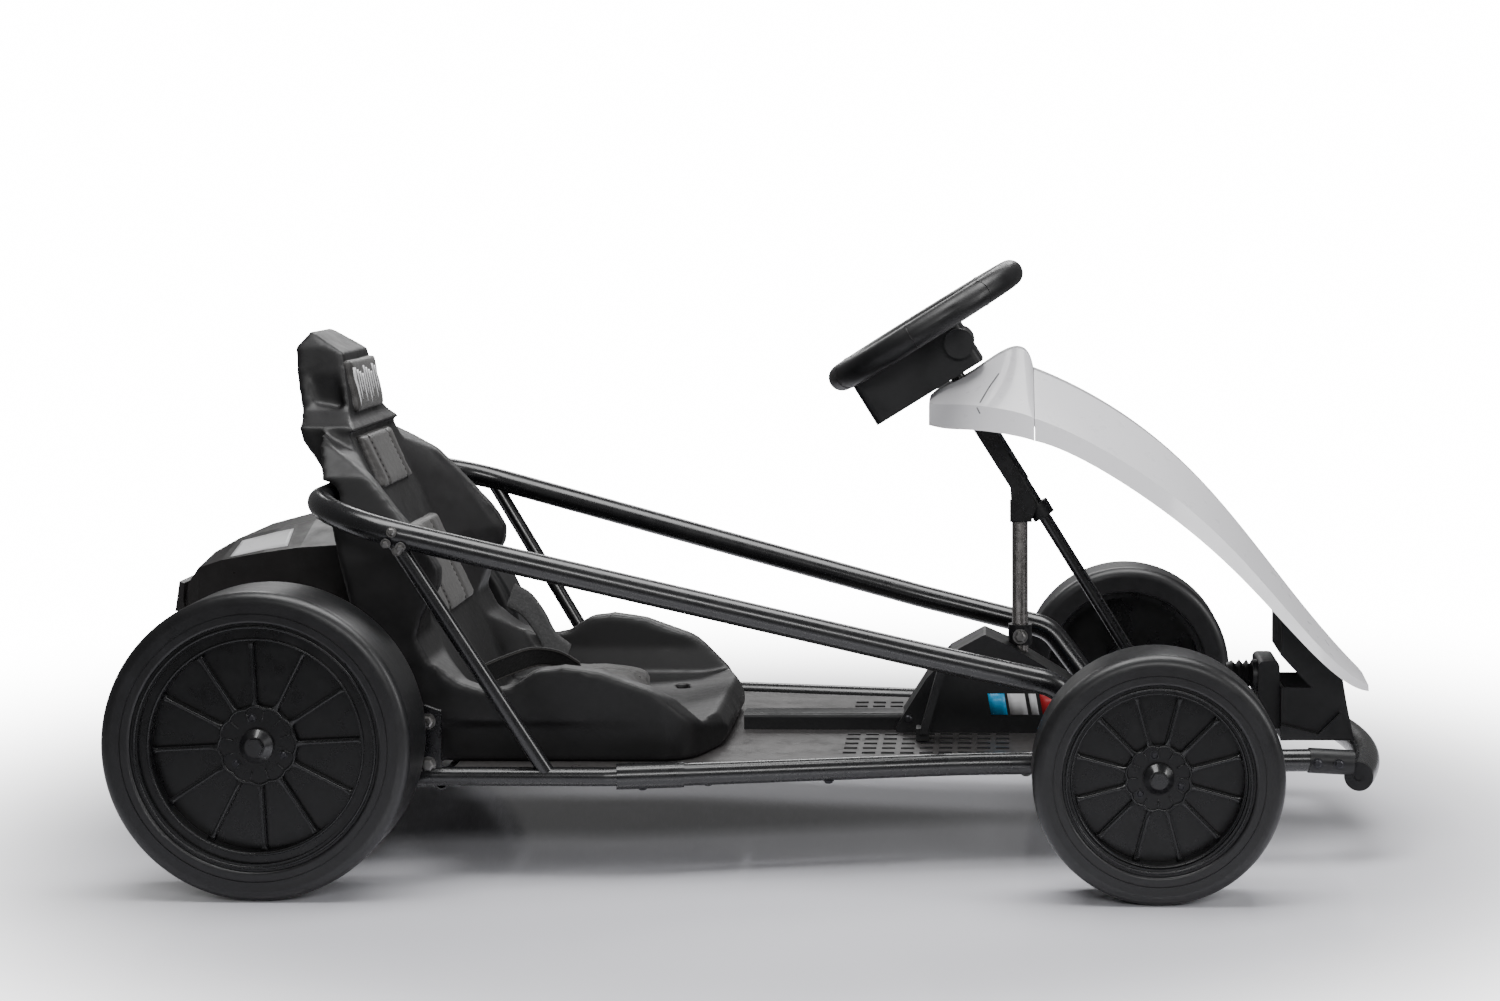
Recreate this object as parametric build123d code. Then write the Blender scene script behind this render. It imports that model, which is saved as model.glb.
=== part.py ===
from build123d import *
import math
import os

os.makedirs("parts", exist_ok=True)

# A child's electric ride-on drift kart. Millimetres, X forward, Y to the
# left, Z up, ground at Z 0. Everything not marked otherwise is symmetric in Y.

SIDES = (("right", -1), ("left", 1))
FIT = 0.15            # clearance of a fixed fit, such as a sleeve on a tube
RUN = 0.08            # radial clearance of a running fit, such as a hub on its axle
SOFT = 0.4            # clearance round a soft piece

# Wheels
REAR_X = -491.5
FRONT_X = 388.2
TYRE_FACE_Y = 360.0   # outer tyre faces
AXLE_R = 6.0
# name, axle x, tyre radius, tyre width, rim radius, pocket radius,
# hub radius, cap radius, dish depth, spoke angle
WHEELS = (
    ("rear", REAR_X, 152.5, 90.0, 122.0, 104.0, 39.0, 16.5, 15.0, 3.0),
    ("front", FRONT_X, 122.5, 78.0, 93.0, 83.0, 32.5, 15.0, 17.0, 15.0),
)
SPOKES = 12
REAR_AXLE_Z = WHEELS[0][2]
FRONT_AXLE_Z = WHEELS[1][2]

# Lower frame
RAIL_Z = 103.5
REAR_RAIL_Y = 253.0
REAR_RAIL_R = 9.5
REAR_RAIL_BACK = -556.0
RAIL_JOINT_X = -150.0
FRONT_RAIL_R = 11.5
FRONT_RAIL_BEND = (205.0, 182.0)
FRONT_RAIL_END = (572.0, 157.0)
SLEEVE_R = 13.0
SLEEVE_X = (-152.0, -85.0)
SOCKET_X = (554.0, 592.0)
TUBE_WALL = 2.0

# Bumper
BUMPER_R = 15.0
BUMPER_Z = 87.0
BUMPER_END = (606.4, 157.0)
BUMPER_NOSE_X = 644.0 - BUMPER_R

# Hoop round the seat
HOOP_R = 13.2
HOOP_FOOT = (352.0, 170.0, 112.0)
HOOP_KNEE = (294.0, 190.0, 187.0)
HOOP_MID = (145.0, 204.3, 222.0)
HOOP_REAR_X = -464.0
HOOP_REAR_Y = 293.0
HOOP_REAR_Z = 377.1

# Steering
SHAFT_TILT = 31.7     # shaft from the vertical, degrees
WHEEL_CENTRE = (155.5, 0.0, 547.9)
SHAFT_LENGTH = 522.5
STEER_R = 107.5
STEER_GRIP_R = 14.5
ARM_TURNS = (90, 180, 270)
ARM_REACH = 83.0
KINGPIN_Y = 256.0
PITMAN = 42.0
BUSH_R = 9.0
BUSH_RISE = {-1: -13.5, 1: -25.5}
KNUCKLE_ARM = 74.0
TIE_Z = 128.0


def save(name, *solids):
    """Write one node's solids as one STEP file."""
    shape = solids[0]
    if len(solids) > 1:
        shape = Compound(children=list(solids))
    export_step(shape, f"parts/{name}.step")


def path_of(points, radii=()):
    """A path of straight runs with rounded corners."""
    if len(points) == 2:
        return Line(*points)
    return FilletPolyline(*points, radius=list(radii))


def rod(points, radius, radii=()):
    """A round bar along a path."""
    path = path_of(points, radii)
    start = Plane(origin=path @ 0, z_dir=path % 0)
    return sweep(start * Circle(radius), path=path)


def pipe(points, radius, wall, radii=()):
    """A round tube along a path."""
    path = path_of(points, radii)
    start = Plane(origin=path @ 0, z_dir=path % 0)
    return sweep(start * (Circle(radius) - Circle(radius - wall)), path=path)


def turned(points, radii=0):
    """A solid of revolution about Z from a closed (radius, height) outline."""
    corners = [(r, 0, z) for r, z in points]
    outline = FilletPolyline(*corners, radius=radii, close=True)
    return revolve(make_face(outline), axis=Axis.Z)


def slab(points, y_low, y_high):
    """A closed (x, z) outline drawn out from y_low to y_high."""
    outline = Polyline(*[(x, y_low, z) for x, z in points], close=True)
    return extrude(make_face(outline), amount=y_high - y_low, dir=(0, 1, 0))


def facade(points, x_low, x_high):
    """A closed symmetric (half width, z) outline drawn out along X."""
    right = [(x_low, -y, z) for y, z in points]
    left = [(x_low, y, z) for y, z in reversed(points)]
    outline = Polyline(*(right + left), close=True)
    return extrude(make_face(outline), amount=x_high - x_low, dir=(1, 0, 0))


def block(x, y, z):
    """A box from its low and high values on each axis."""
    size = (x[1] - x[0], y[1] - y[0], z[1] - z[0])
    centre = ((x[0] + x[1]) / 2, (y[0] + y[1]) / 2, (z[0] + z[1]) / 2)
    return Pos(*centre) * Box(*size)


def roof(rows, wall=0.0, drop=0.0, ruled=False):
    """A loft through roof-shaped sections, moved in by wall, lowered by drop.

    A row is x, ridge z, crease z, lower z, flat half, crease half, lower half.
    """
    faces = []
    for x, ridge, crease, low, flat, half, base in rows:
        corners = (
            (x, -base + wall, low - drop),
            (x, -half + wall, crease - wall * 0.4),
            (x, -flat, ridge - wall),
            (x, flat, ridge - wall),
            (x, half - wall, crease - wall * 0.4),
            (x, base - wall, low - drop),
        )
        faces.append(make_face(Polyline(*corners, close=True)))
    return loft(faces, ruled=ruled)


def mirrored_points(points, side):
    """Points of the left side moved to the asked side."""
    return [(x, side * y, z) for x, y, z in points]


# Wheels: each is made with its outer face up at height 0, then placed
for place, x, radius, width, rim, pocket, hub, cap, dish, angle in WHEELS:
    floor = -dish - 5
    tyre = turned(
        (
            (rim + FIT, -0.0),
            (radius, 0.0),
            (radius, -width),
            (rim + FIT, -width),
        ),
        [3, 11, 11, 3],
    )
    groove = turned(((rim + 9, 1), (rim + 10.2, 1), (rim + 10.2, -1.2), (rim + 9, -1.2)))
    tyre = tyre - groove
    drum = turned(
        (
            (rim, -3),
            (rim - 7, -3),
            (rim - 7, -7),
            (pocket, -7),
            (pocket, floor - 5),
            (rim - 6, floor - 5),
            (rim - 6, 3 - width),
            (rim, 3 - width),
        )
    )
    disc = turned(((AXLE_R + RUN, floor), (pocket, floor), (pocket, floor - 5),
                   (AXLE_R + RUN, floor - 5)))
    boss = turned(((AXLE_R + RUN, -dish), (hub, -dish), (hub, -dish - 4),
                   (hub * 0.72, floor - 5), (hub * 0.72, 8 - width),
                   (AXLE_R + RUN, 8 - width)))
    wheel = drum + disc + boss
    for spoke in range(SPOKES):
        reach = pocket - hub + 2
        bar = Pos(hub - 1 + reach / 2, 0, floor + 2) * Box(reach, 5, 5)
        wheel = wheel + Rot(0, 0, angle + spoke * 360 / SPOKES) * bar
    dome = turned(((0, -dish + FIT), (cap, -dish + FIT), (cap, 4 - dish),
                   (cap * 0.6, 10 - dish), (0, 10 - dish)))
    nut = Pos(0, 0, 10 - dish) * extrude(RegularPolygon(cap * 0.55, 6), amount=4)
    for side, sign in SIDES:
        seat = Plane(
            origin=(x, sign * TYRE_FACE_Y, radius), x_dir=(1, 0, 0), z_dir=(0, sign, 0)
        ).location
        save(f"tyre_{place}_{side}", seat * tyre)
        save(f"rim_{place}_{side}", seat * wheel)
        save(f"hub_cap_{place}_{side}", seat * (dome + nut))

# Rails, sleeves, sockets and bumper
rear_rod = {}
front_rod = {}
sleeves = []
sockets = []
plugs = []
for side, sign in SIDES:
    rear_run = mirrored_points(
        (
            (REAR_RAIL_BACK, REAR_RAIL_Y, RAIL_Z),
            (SLEEVE_X[0] - 6, REAR_RAIL_Y, RAIL_Z),
            (SLEEVE_X[0] + 34, REAR_RAIL_Y - 7, RAIL_Z),
        ),
        sign,
    )
    joint = (RAIL_JOINT_X + 34, REAR_RAIL_Y - 7)
    front_run = mirrored_points(
        (
            (joint[0] + 2, joint[1], RAIL_Z),
            (*FRONT_RAIL_BEND, RAIL_Z),
            (*FRONT_RAIL_END, RAIL_Z),
        ),
        sign,
    )
    rear_rod[sign] = rod(rear_run, REAR_RAIL_R, [60])
    front_rod[sign] = rod(front_run, FRONT_RAIL_R, [700])
    save(f"rail_rear_{side}", pipe(rear_run, REAR_RAIL_R, TUBE_WALL, [60]))
    save(f"rail_front_{side}", pipe(front_run, FRONT_RAIL_R, TUBE_WALL, [700]))
    sleeve_run = mirrored_points(
        (
            (SLEEVE_X[0], REAR_RAIL_Y - 1, RAIL_Z),
            (SLEEVE_X[1], REAR_RAIL_Y - 12.5, RAIL_Z),
        ),
        sign,
    )
    sleeve = rod(sleeve_run, SLEEVE_R) - rear_rod[sign] - front_rod[sign]
    sleeves.append(sleeve)
    socket_run = mirrored_points(
        ((SOCKET_X[0], 158.2, RAIL_Z), (SOCKET_X[1] + 8, 155.1, RAIL_Z - 3)), sign
    )
    bumper_run = (
        (BUMPER_END[0], -BUMPER_END[1], BUMPER_Z),
        (BUMPER_NOSE_X, 0, BUMPER_Z),
        (BUMPER_END[0], BUMPER_END[1], BUMPER_Z),
    )
    bow = ThreePointArc(*bumper_run)
    bow_start = Plane(origin=bow @ 0, z_dir=bow % 0)
    bumper_rod = sweep(bow_start * Circle(BUMPER_R), path=bow)
    socket = rod(socket_run, SLEEVE_R) - front_rod[sign] - bumper_rod
    end = bow @ (0 if sign < 0 else 1)
    out = (bow % 0) * -1 if sign < 0 else bow % 1
    cap_seat = Plane(origin=end, z_dir=out)
    plug = cap_seat * extrude(Circle(BUMPER_R), amount=4)
    plug = plug - cap_seat * Pos(0, 0, 4) * Cylinder(5, 3)
    plugs.append(plug)
    sockets.append(socket - cap_seat * Cylinder(BUMPER_R + FIT, 12))
bumper_tube = sweep(
    bow_start * (Circle(BUMPER_R) - Circle(BUMPER_R - TUBE_WALL)), path=bow
)
save("bumper_bar", bumper_tube)
save("bumper_caps", *plugs)
save("bumper_sockets", *sockets)
save("rail_sleeves", *sleeves)

# Cross tubes between the rails: name, x, radius, z, half length
UNDER_Z = RAIL_Z - 7.5
CROSS = (
    ("cross_rear", -548.0, 9.5, RAIL_Z, REAR_RAIL_Y - 2),
    ("cross_seat_rear", -330.0, 7.5, UNDER_Z, REAR_RAIL_Y - 3),
    ("cross_seat_front", -62.0, 7.5, UNDER_Z, 226.0),
    ("cross_column", 262.0, 7.5, UNDER_Z, 173.0),
    ("cross_nose", 520.0, 9.5, RAIL_Z, 158.0),
)
for name, x, r, z, half in CROSS:
    bar = pipe(((x, -half, z), (x, half, z)), r, TUBE_WALL)
    for sign in (-1, 1):
        bar = bar - rear_rod[sign] - front_rod[sign]
    save(name, max(bar.solids(), key=lambda s: s.volume))

# Hoop, its joiner behind the seat and its struts
struts = []
hoop_space = []
for side, sign in SIDES:
    run = mirrored_points(
        (
            HOOP_FOOT,
            HOOP_KNEE,
            HOOP_MID,
            (HOOP_REAR_X, HOOP_REAR_Y, HOOP_REAR_Z),
            (HOOP_REAR_X, 0.5, HOOP_REAR_Z),
        ),
        sign,
    )
    bend = [45, 700, 100]
    hoop = pipe(run, HOOP_R, TUBE_WALL, bend) - front_rod[sign]
    save(f"hoop_{side}", max(hoop.solids(), key=lambda s: s.volume))
    solid_hoop = rod(run, HOOP_R, bend)
    strut_run = mirrored_points(
        ((-371.0, 279.0, 349.0), (-222.0, REAR_RAIL_Y, RAIL_Z + 4)), sign
    )
    strut = rod(strut_run, 8.0) - rear_rod[sign] - solid_hoop
    struts.append(max(strut.solids(), key=lambda s: s.volume))
    hoop_space.append(rod(run, HOOP_R + 5, bend))
joiner = rod(((HOOP_REAR_X, -35, HOOP_REAR_Z), (HOOP_REAR_X, 35, HOOP_REAR_Z)), HOOP_R + 2)
joiner = joiner - rod(
    ((HOOP_REAR_X, -40, HOOP_REAR_Z), (HOOP_REAR_X, 40, HOOP_REAR_Z)), HOOP_R + FIT
)
save("hoop_joiner", joiner)
save("struts", *struts)

# Rear axle, its carrier plates and the two gearboxes with motors
plates = []
axle_half = TYRE_FACE_Y - WHEELS[0][8] - 3
axle_run = ((REAR_X, -axle_half, REAR_AXLE_Z), (REAR_X, axle_half, REAR_AXLE_Z))
save("rear_axle", rod(axle_run, AXLE_R))
for side, sign in SIDES:
    plate = slab(
        ((-540, 104), (-329, 104), (-329, 170), (-345, 176), (-440, 190), (-525, 190),
         (-540, 176)),
        sign * REAR_RAIL_Y - 3,
        sign * REAR_RAIL_Y + 3,
    )
    hole = Pos(REAR_X, sign * REAR_RAIL_Y, REAR_AXLE_Z) * Rot(90, 0, 0)
    plate = plate - hole * Cylinder(AXLE_R + FIT, 30) - rear_rod[sign]
    plates.append(max(plate.solids(), key=lambda s: s.volume))
    y_near = sign * 196
    y_far = sign * (REAR_RAIL_Y - 3)
    box = block((-540, -440), sorted((y_near, y_far)), (115, 186))
    box = fillet(box.edges().filter_by(Axis.Y), 14)
    motor = Pos(-462, sign * 157, 142) * Rot(90, 0, 0) * Cylinder(20, 80)
    drive = box + motor
    drive = drive - hole * Cylinder(AXLE_R + FIT, 400)
    save(f"gearbox_{side}", drive)
save("axle_plates", *plates)

# Floor pan with tread bars, and the beam along its middle
PAN_Z = (104.0, 107.0)
pan_side = ((-322, 241), (-158, 241), (-85, 222), (60, 194), (205, 169), (330, 159))
pan_points = [(x, -y) for x, y in pan_side] + [(x, y) for x, y in reversed(pan_side)]
pan = make_face(Polyline(*[(x, y, PAN_Z[0]) for x, y in pan_points], close=True))
pan = extrude(pan, amount=PAN_Z[1] - PAN_Z[0], dir=(0, 0, 1))
for sign in (-1, 1):
    for column in range(9):
        for row in range(5):
            spot = Pos(78 + column * 20, sign * (46 + row * 25), PAN_Z[1] + 0.5)
            pan = pan + spot * Box(14, 4, 2)
    pan = pan - rear_rod[sign] - front_rod[sign] - rod(
        mirrored_points(
            ((SLEEVE_X[0] - 1, REAR_RAIL_Y - 1, RAIL_Z), (SLEEVE_X[1], REAR_RAIL_Y - 12.5, RAIL_Z)),
            sign,
        ),
        SLEEVE_R,
    )
for name, x, r, z, half in CROSS:
    pan = pan - rod(((x, -300, z), (x, 300, z)), r)
save("floor_pan", max(pan.solids(), key=lambda s: s.volume))
SEAT_BASE_Z = PAN_Z[1] + 0.2
beam = block((-44, 150), (-18, 18), (PAN_Z[1], PAN_Z[1] + 18))
beam = fillet(beam.edges().filter_by(Axis.X).group_by(Axis.Z)[-1], 5)
save("centre_beam", beam)

# Console over the pedals and the foot of the steering column
CONSOLE_T = 3.0
console_top = ((156, 166), (182, 194), (219, 214), (250, 200), (309, 164), (348, 134))
console_out = ((119, SEAT_BASE_Z), *console_top, (352, SEAT_BASE_Z))
console = slab(console_out, -34, 34)
console = fillet(console.edges().filter_by(Axis.Y), 4)
console_in = [(x + 3.2 if x < 170 else x - 2.5 if x > 300 else x, z - 3.2) for x, z in console_out]
console = console - slab(console_in, CONSOLE_T - 34, 34 - CONSOLE_T)
console = console - block((-60, 150.5), (-18 - FIT, 18 + FIT), (0, PAN_Z[1] + 18 + FIT))

# Steering column: post, clamp, bearing
shaft_dir = Vector(math.sin(math.radians(SHAFT_TILT)), 0, -math.cos(math.radians(SHAFT_TILT)))
centre = Vector(*WHEEL_CENTRE)
shaft_low = centre + shaft_dir * SHAFT_LENGTH
post_x = 257.7
console = console - Pos(post_x, 0, 150) * Cylinder(8.8 + FIT, 200)
save("console", console)
post_bottom = PAN_Z[1]
post_top = 348
post = Pos(post_x, 0, (post_bottom + post_top) / 2) * Cylinder(8.8, post_top - post_bottom)
post = post - Pos(post_x, 0, (post_bottom + post_top) / 2) * Cylinder(7.0, 400)
save("column_post", post)
clamp = Pos(post_x, 0, 210) * Cylinder(13, 22) + Pos(post_x, 0, 210) * Box(10, 40, 14)
clamp = clamp - Pos(post_x, 0, 210) * Cylinder(8.8 + FIT, 40)
clamp = clamp - slab(console_out, -40, 40)
save("post_clamp", clamp)
bearing_at = centre + shaft_dir * 237.1
bearing_plane = Plane(origin=bearing_at, z_dir=shaft_dir)
bearing = bearing_plane * Cylinder(12.5, 16)
arm = block((post_x - 11, post_x + 13), (-13, 13), (334, 356))
bearing = bearing + arm - bearing_plane * Cylinder(6.8 + RUN, 80)
bearing = bearing - Pos(post_x, 0, post_top - 50) * Cylinder(8.8 + FIT, 100.2)
save("column_bearing", max(bearing.solids(), key=lambda s: s.volume))
stay_side = ((249, 336), (270, 336), (276, 352), (230, 436), (262, 474), (262, 530), (238, 530),
             (232, 474), (206, 437), (247, 372))
stay = slab(stay_side, -17.2, 17.2) - slab(stay_side, -13.2, 13.2)
stay = stay + block((238, 262), (-17.2, 17.2), (492, 530))
stay = stay - bearing_plane * Cylinder(13, 17)

# Steering body: shaft with its arm, hub housing, rim
arm_dir = Vector(math.cos(math.radians(SHAFT_TILT)), 0, math.sin(math.radians(SHAFT_TILT)))
upper = Plane(origin=centre, x_dir=arm_dir, z_dir=shaft_dir)
shaft = upper * extrude(Circle(6.8), amount=SHAFT_LENGTH)
shaft = shaft + upper * Pos(0, 0, 20) * extrude(Circle(8), amount=180)
pitman = Plane(origin=shaft_low, x_dir=arm_dir, z_dir=shaft_dir)
lever = pitman * Pos(PITMAN / 2, 0, -3) * Box(PITMAN, 16, 6)
lever = lever + pitman * Pos(PITMAN, 0, -3) * Cylinder(9, 6)
lever = lever + pitman * Pos(PITMAN, 0, -19) * Cylinder(3, 28)
lever = lever + pitman * Pos(0, 0, -3) * Cylinder(12, 6)
shaft = shaft + lever
save("steering_shaft", shaft)
rim_ring = upper * Torus(STEER_R, STEER_GRIP_R)
for turn in ARM_TURNS:
    rim_ring = rim_ring + upper * Rot(0, 0, turn) * Pos(ARM_REACH + 7, 0, 3) * Box(14, 27, 8)
save("steering_rim", rim_ring)
housing = upper * Pos(0, 0, 8) * Cylinder(34, 28)
for turn in ARM_TURNS:
    arm = Pos(ARM_REACH / 2, 0, 3) * Box(ARM_REACH, 27, 8)
    housing = housing + upper * Rot(0, 0, turn) * arm
under = upper * Pos(-33, 0, 39.5) * Box(134, 84, 48)
under = fillet(under.edges().group_by(SortBy.LENGTH)[0], 8)
knob = upper * Pos(22, 0, 34.5) * Rot(90, 0, 0) * Cylinder(16, 104)
housing = housing + under + knob
housing = housing - rim_ring - shaft
save("steering_hub", housing)

# Front axle: beam with yokes, knuckles, tie rods
YOKE = 22.0
beam_z = RAIL_Z + FRONT_RAIL_R + 9.5
front_beam = rod(((FRONT_X, -KINGPIN_Y + 14, beam_z), (FRONT_X, KINGPIN_Y - 14, beam_z)), 10.5)
for side, sign in SIDES:
    low = FRONT_AXLE_Z - YOKE
    high = FRONT_AXLE_Z + YOKE
    inner = sign * (KINGPIN_Y - 22)
    web_y = sorted((inner, sign * (KINGPIN_Y - 17)))
    web = block((FRONT_X - 10, FRONT_X + 10), web_y, (low - 5, high + 5))
    jaws = web
    for z in (low - 5, high):
        jaw = block((FRONT_X - 10, FRONT_X + 10), sorted((inner, sign * KINGPIN_Y)), (z, z + 5))
        jaw = jaw + Pos(FRONT_X, sign * KINGPIN_Y, z + 2.5) * Cylinder(14, 5)
        jaws = jaws + jaw
    kingpin = Pos(FRONT_X, sign * KINGPIN_Y, FRONT_AXLE_Z) * Cylinder(5, 2 * YOKE + 14)
    front_beam = front_beam + jaws + kingpin
for sign in (-1, 1):
    front_beam = front_beam - front_rod[sign]
save("front_axle_beam", front_beam)
eye_x = FRONT_X + KNUCKLE_ARM
eye_y = KINGPIN_Y
for side, sign in SIDES:
    barrel = Pos(FRONT_X, sign * KINGPIN_Y, FRONT_AXLE_Z) * Cylinder(12, 2 * YOKE - 2)
    stub_end = TYRE_FACE_Y - WHEELS[1][8] - 3
    stub = rod(
        ((FRONT_X, sign * (KINGPIN_Y + 8), FRONT_AXLE_Z), (FRONT_X, sign * stub_end, FRONT_AXLE_Z)),
        AXLE_R,
    )
    arm = rod(
        ((FRONT_X, sign * KINGPIN_Y, TIE_Z - 10), (eye_x, sign * eye_y, TIE_Z - 10)), 6
    )
    eye = Pos(eye_x, sign * eye_y, TIE_Z - 10) * Cylinder(9, 8)
    pin = Pos(eye_x, sign * eye_y, TIE_Z) * Cylinder(3.5, 18)
    knuckle = barrel + stub + arm + eye + pin
    knuckle = knuckle - Pos(FRONT_X, sign * KINGPIN_Y, FRONT_AXLE_Z) * Cylinder(5 + RUN, 80)
    save(f"knuckle_{side}", knuckle)
    bush = pitman * Pos(PITMAN, 0, BUSH_RISE[sign])
    bush_at = bush.position
    tie_from = (bush_at.X, bush_at.Y + sign * 10, bush_at.Z)
    tie = rod((tie_from, (eye_x, sign * (eye_y - 6), TIE_Z)), 4.5)
    tie = tie + Pos(eye_x, sign * eye_y, TIE_Z) * Cylinder(9, 8)
    tie = tie + bush * Cylinder(BUSH_R + 3.5, 8) - bush * Cylinder(BUSH_R, 30)
    tie = tie - Pos(eye_x, sign * eye_y, TIE_Z) * Cylinder(3.5 + RUN, 60)
    save(f"tie_rod_{side}", tie)

# Fairing: x, ridge z, crease z, lower edge z, flat half, crease half, lower half
FAIRING_T = 4.0
COWL = (
    (160.0, 470, 466, 444, 30, 60, 66),
    (190.0, 489, 467, 441, 30, 78, 86),
    (243.0, 521, 462, 437, 28, 90, 100),
    (266.0, 519, 456, 432, 28, 92, 102),
    (272.0, 505, 453, 430, 28, 92, 102),
)
BONNET = (
    (272.6, 501, 453, 430, 28, 92, 102),
    (345.0, 466, 420, 398, 28, 95, 106),
    (455.0, 378, 340, 318, 26, 95, 106),
    (554.0, 257, 232, 216, 24, 90, 98),
    (609.0, 191, 178, 168, 20, 80, 86),
    (628.0, 171, 166, 160, 16, 66, 70),
)
cowl = roof(COWL) - roof(COWL, FAIRING_T, 12)
cowl = cowl - upper * Cylinder(15, 600)
save("fairing_cowl", max(cowl.solids(), key=lambda s: s.volume))
bonnet = roof(BONNET) - roof(BONNET, FAIRING_T, 12)
stay_room = roof(COWL, FAIRING_T + 0.2, 40) + block((200, 290), (-20, 20), (320, 440))
stay = stay & stay_room
save("fairing_stay", max(stay.solids(), key=lambda s: s.volume))
save("fairing_bonnet", max(bonnet.solids(), key=lambda s: s.volume))

# Nose box with a flared lower lip, its back post and the ribbed boot
NOSE_HALF = 50.0
nose = slab(((537, 103), (615, 103), (607, 144), (601, 180), (537, 242)), -NOSE_HALF, NOSE_HALF)
nose = nose - slab(
    ((540, 90), (611.5, 90), (603.5, 144), (597.5, 178), (540, 234)), 3 - NOSE_HALF, NOSE_HALF - 3
)
for sign in (-1, 1):
    lip = slab(((536, 104), (536, 121), (576, 111), (599, 134), (612, 106)),
               *sorted((sign * (NOSE_HALF - 2), sign * (NOSE_HALF + 7))))
    nose = nose + lip
nose = nose & (roof(BONNET, FAIRING_T + 0.3, 40) + block((500, 640), (-90, 90), (60, 160)))
for sign in (-1, 1):
    nose = nose - front_rod[sign]
nose = nose - bumper_rod
save("nose_box", max(nose.solids(), key=lambda s: s.volume))
nose_post = block((514, 537), (-36, 36), (113, 186))
nose_post = fillet(nose_post.edges().filter_by(Axis.Y).group_by(Axis.Z)[-1], 6)
boot = Plane(origin=(514, -16, 168), z_dir=(-1, 0, 0))
boot = boot * turned(((0, 0), (17, 0), (17, 5), (12, 8), (17, 11), (12, 15), (17, 19),
                      (12, 23), (16, 27), (13, 33), (0, 33)))
save("nose_post", nose_post)
save("nose_boot", boot)

# Seat: a tub with side wings, a headrest and a hollow that opens upwards
SEAT_FLOOR_Z = 138.0
tub_side = (
    (-392, SEAT_BASE_Z), (-440, 300), (-457, 372), (-478, 441), (-471, 434), (-442, 417),
    (-416, 399), (-396, 377), (-355, 330), (-340, 306), (-341, 290), (-358, 258),
    (-364, 236), (-352, 213), (-322, 190), (-292, 180), (-267, 184), (-241, 201),
    (-213, 205), (-177, 200), (-124, 181), (-100, 168), (-80, 154), (-62, 142),
    (-53, 126), (-53, 116), (-62, SEAT_BASE_Z),
)
head_side = (
    (-440, 372), (-466, 372), (-489, 412), (-502, 430), (-512, 466), (-519, 500),
    (-522, 528), (-508, 545), (-470, 522), (-457, 453), (-446, 440),
)
seat_front = (
    (204, SEAT_BASE_Z), (206, 300), (197, 352), (182, 400), (150, 430), (104, 448),
    (77, 463), (70, 490), (57, 528), (46, 546),
)
# the front corners fall away from the middle's outline to the sides' outline
LIP_MIDDLE = ((-124, 230), (-100, 200), (-80, 170), (-62, 148), (-48, 128), (-48, 90))
LIP_SIDE = ((-124, 179), (-116, 174), (-103, 162), (-83, 143), (-71, 116), (-71, 90))
tub = slab(tub_side, -230, 230)
head = slab(head_side, -110, 110)
plan = make_face(
    FilletPolyline((-540, -206), (-84, -196), (-50, -90), (-50, 90), (-84, 196), (-540, 206),
                   radius=[0, 45, 60, 60, 45, 0], close=True)
)
plan = Pos(0, 0, 60) * extrude(plan, amount=520, dir=(0, 0, 1))
seat = (tub + head) & facade(seat_front, -600, 0) & plan
# z, back surface x, back half width, crest x, crest half width, front x
HOLLOW = (
    (SEAT_FLOOR_Z, -318, 112, -255, 158, -108),
    (166, -331, 112, -300, 168, 60),
    (232, -362, 110, -352, 174, 60),
    (306, -396, 104, -346, 178, 60),
    (367, -424, 98, -390, 172, 60),
    (412, -445, 88, -430, 152, 60),
    (441, -458, 80, -452, 130, 60),
)
sections = []
for z, back, back_half, crest, crest_half, front in HOLLOW:
    corners = ((back, -back_half, z), (crest, -crest_half, z), (front, -crest_half, z),
               (front, crest_half, z), (crest, crest_half, z), (back, back_half, z))
    sections.append(make_face(Polyline(*corners, close=True)))
hollow = loft(sections, ruled=True)
seat = seat - hollow
for sign in (-1, 1):
    lips = []
    for outline, y in ((LIP_MIDDLE, 90), (LIP_SIDE, 200)):
        corners = [(x, sign * y, z) for x, z in (*outline, (0, 90), (0, 230))]
        lips.append(make_face(Polyline(*corners, close=True)))
    seat = seat - loft(lips, ruled=True)
    seat = seat - slab((*LIP_SIDE, (0, 90), (0, 230)), *sorted((sign * 200, sign * 235)))
for space in hoop_space:
    seat = seat - space
for sign in (-1, 1):
    # recessed lower band, headrest side panel, front slot
    seat = seat - block((-500, -20), sorted((sign * 196, sign * 230)), (0, 148))
    panel = slab(
        ((-500, 468), (-510, 500), (-511, 520), (-501, 530), (-476, 514), (-466, 462)),
        *sorted((sign * 66, sign * 90)),
    )
    seat = seat - panel
    seat = seat - Pos(-122, sign * 80, 150) * Rot(0, 0, sign * 12) * Box(13, 30, 60)
joiner_room = HOOP_R + 8
seat = seat - block(
    (HOOP_REAR_X - joiner_room, HOOP_REAR_X + joiner_room), (-42, 42),
    (HOOP_REAR_Z - joiner_room, HOOP_REAR_Z + joiner_room),
)
save("seat_shell", max(seat.solids(), key=lambda s: s.volume))
cushion = block((-304, -150), (-108, 108), (SEAT_FLOOR_Z + SOFT, 160))
cushion = fillet(cushion.edges().group_by(Axis.Z)[-1], 10)
save("seat_cushion", cushion)


def back_at(z):
    """X of the hollow's back at a height."""
    for low, high in zip(HOLLOW, HOLLOW[1:]):
        if low[0] <= z <= high[0]:
            share = (z - low[0]) / (high[0] - low[0])
            return low[1] + share * (high[1] - low[1])


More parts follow.
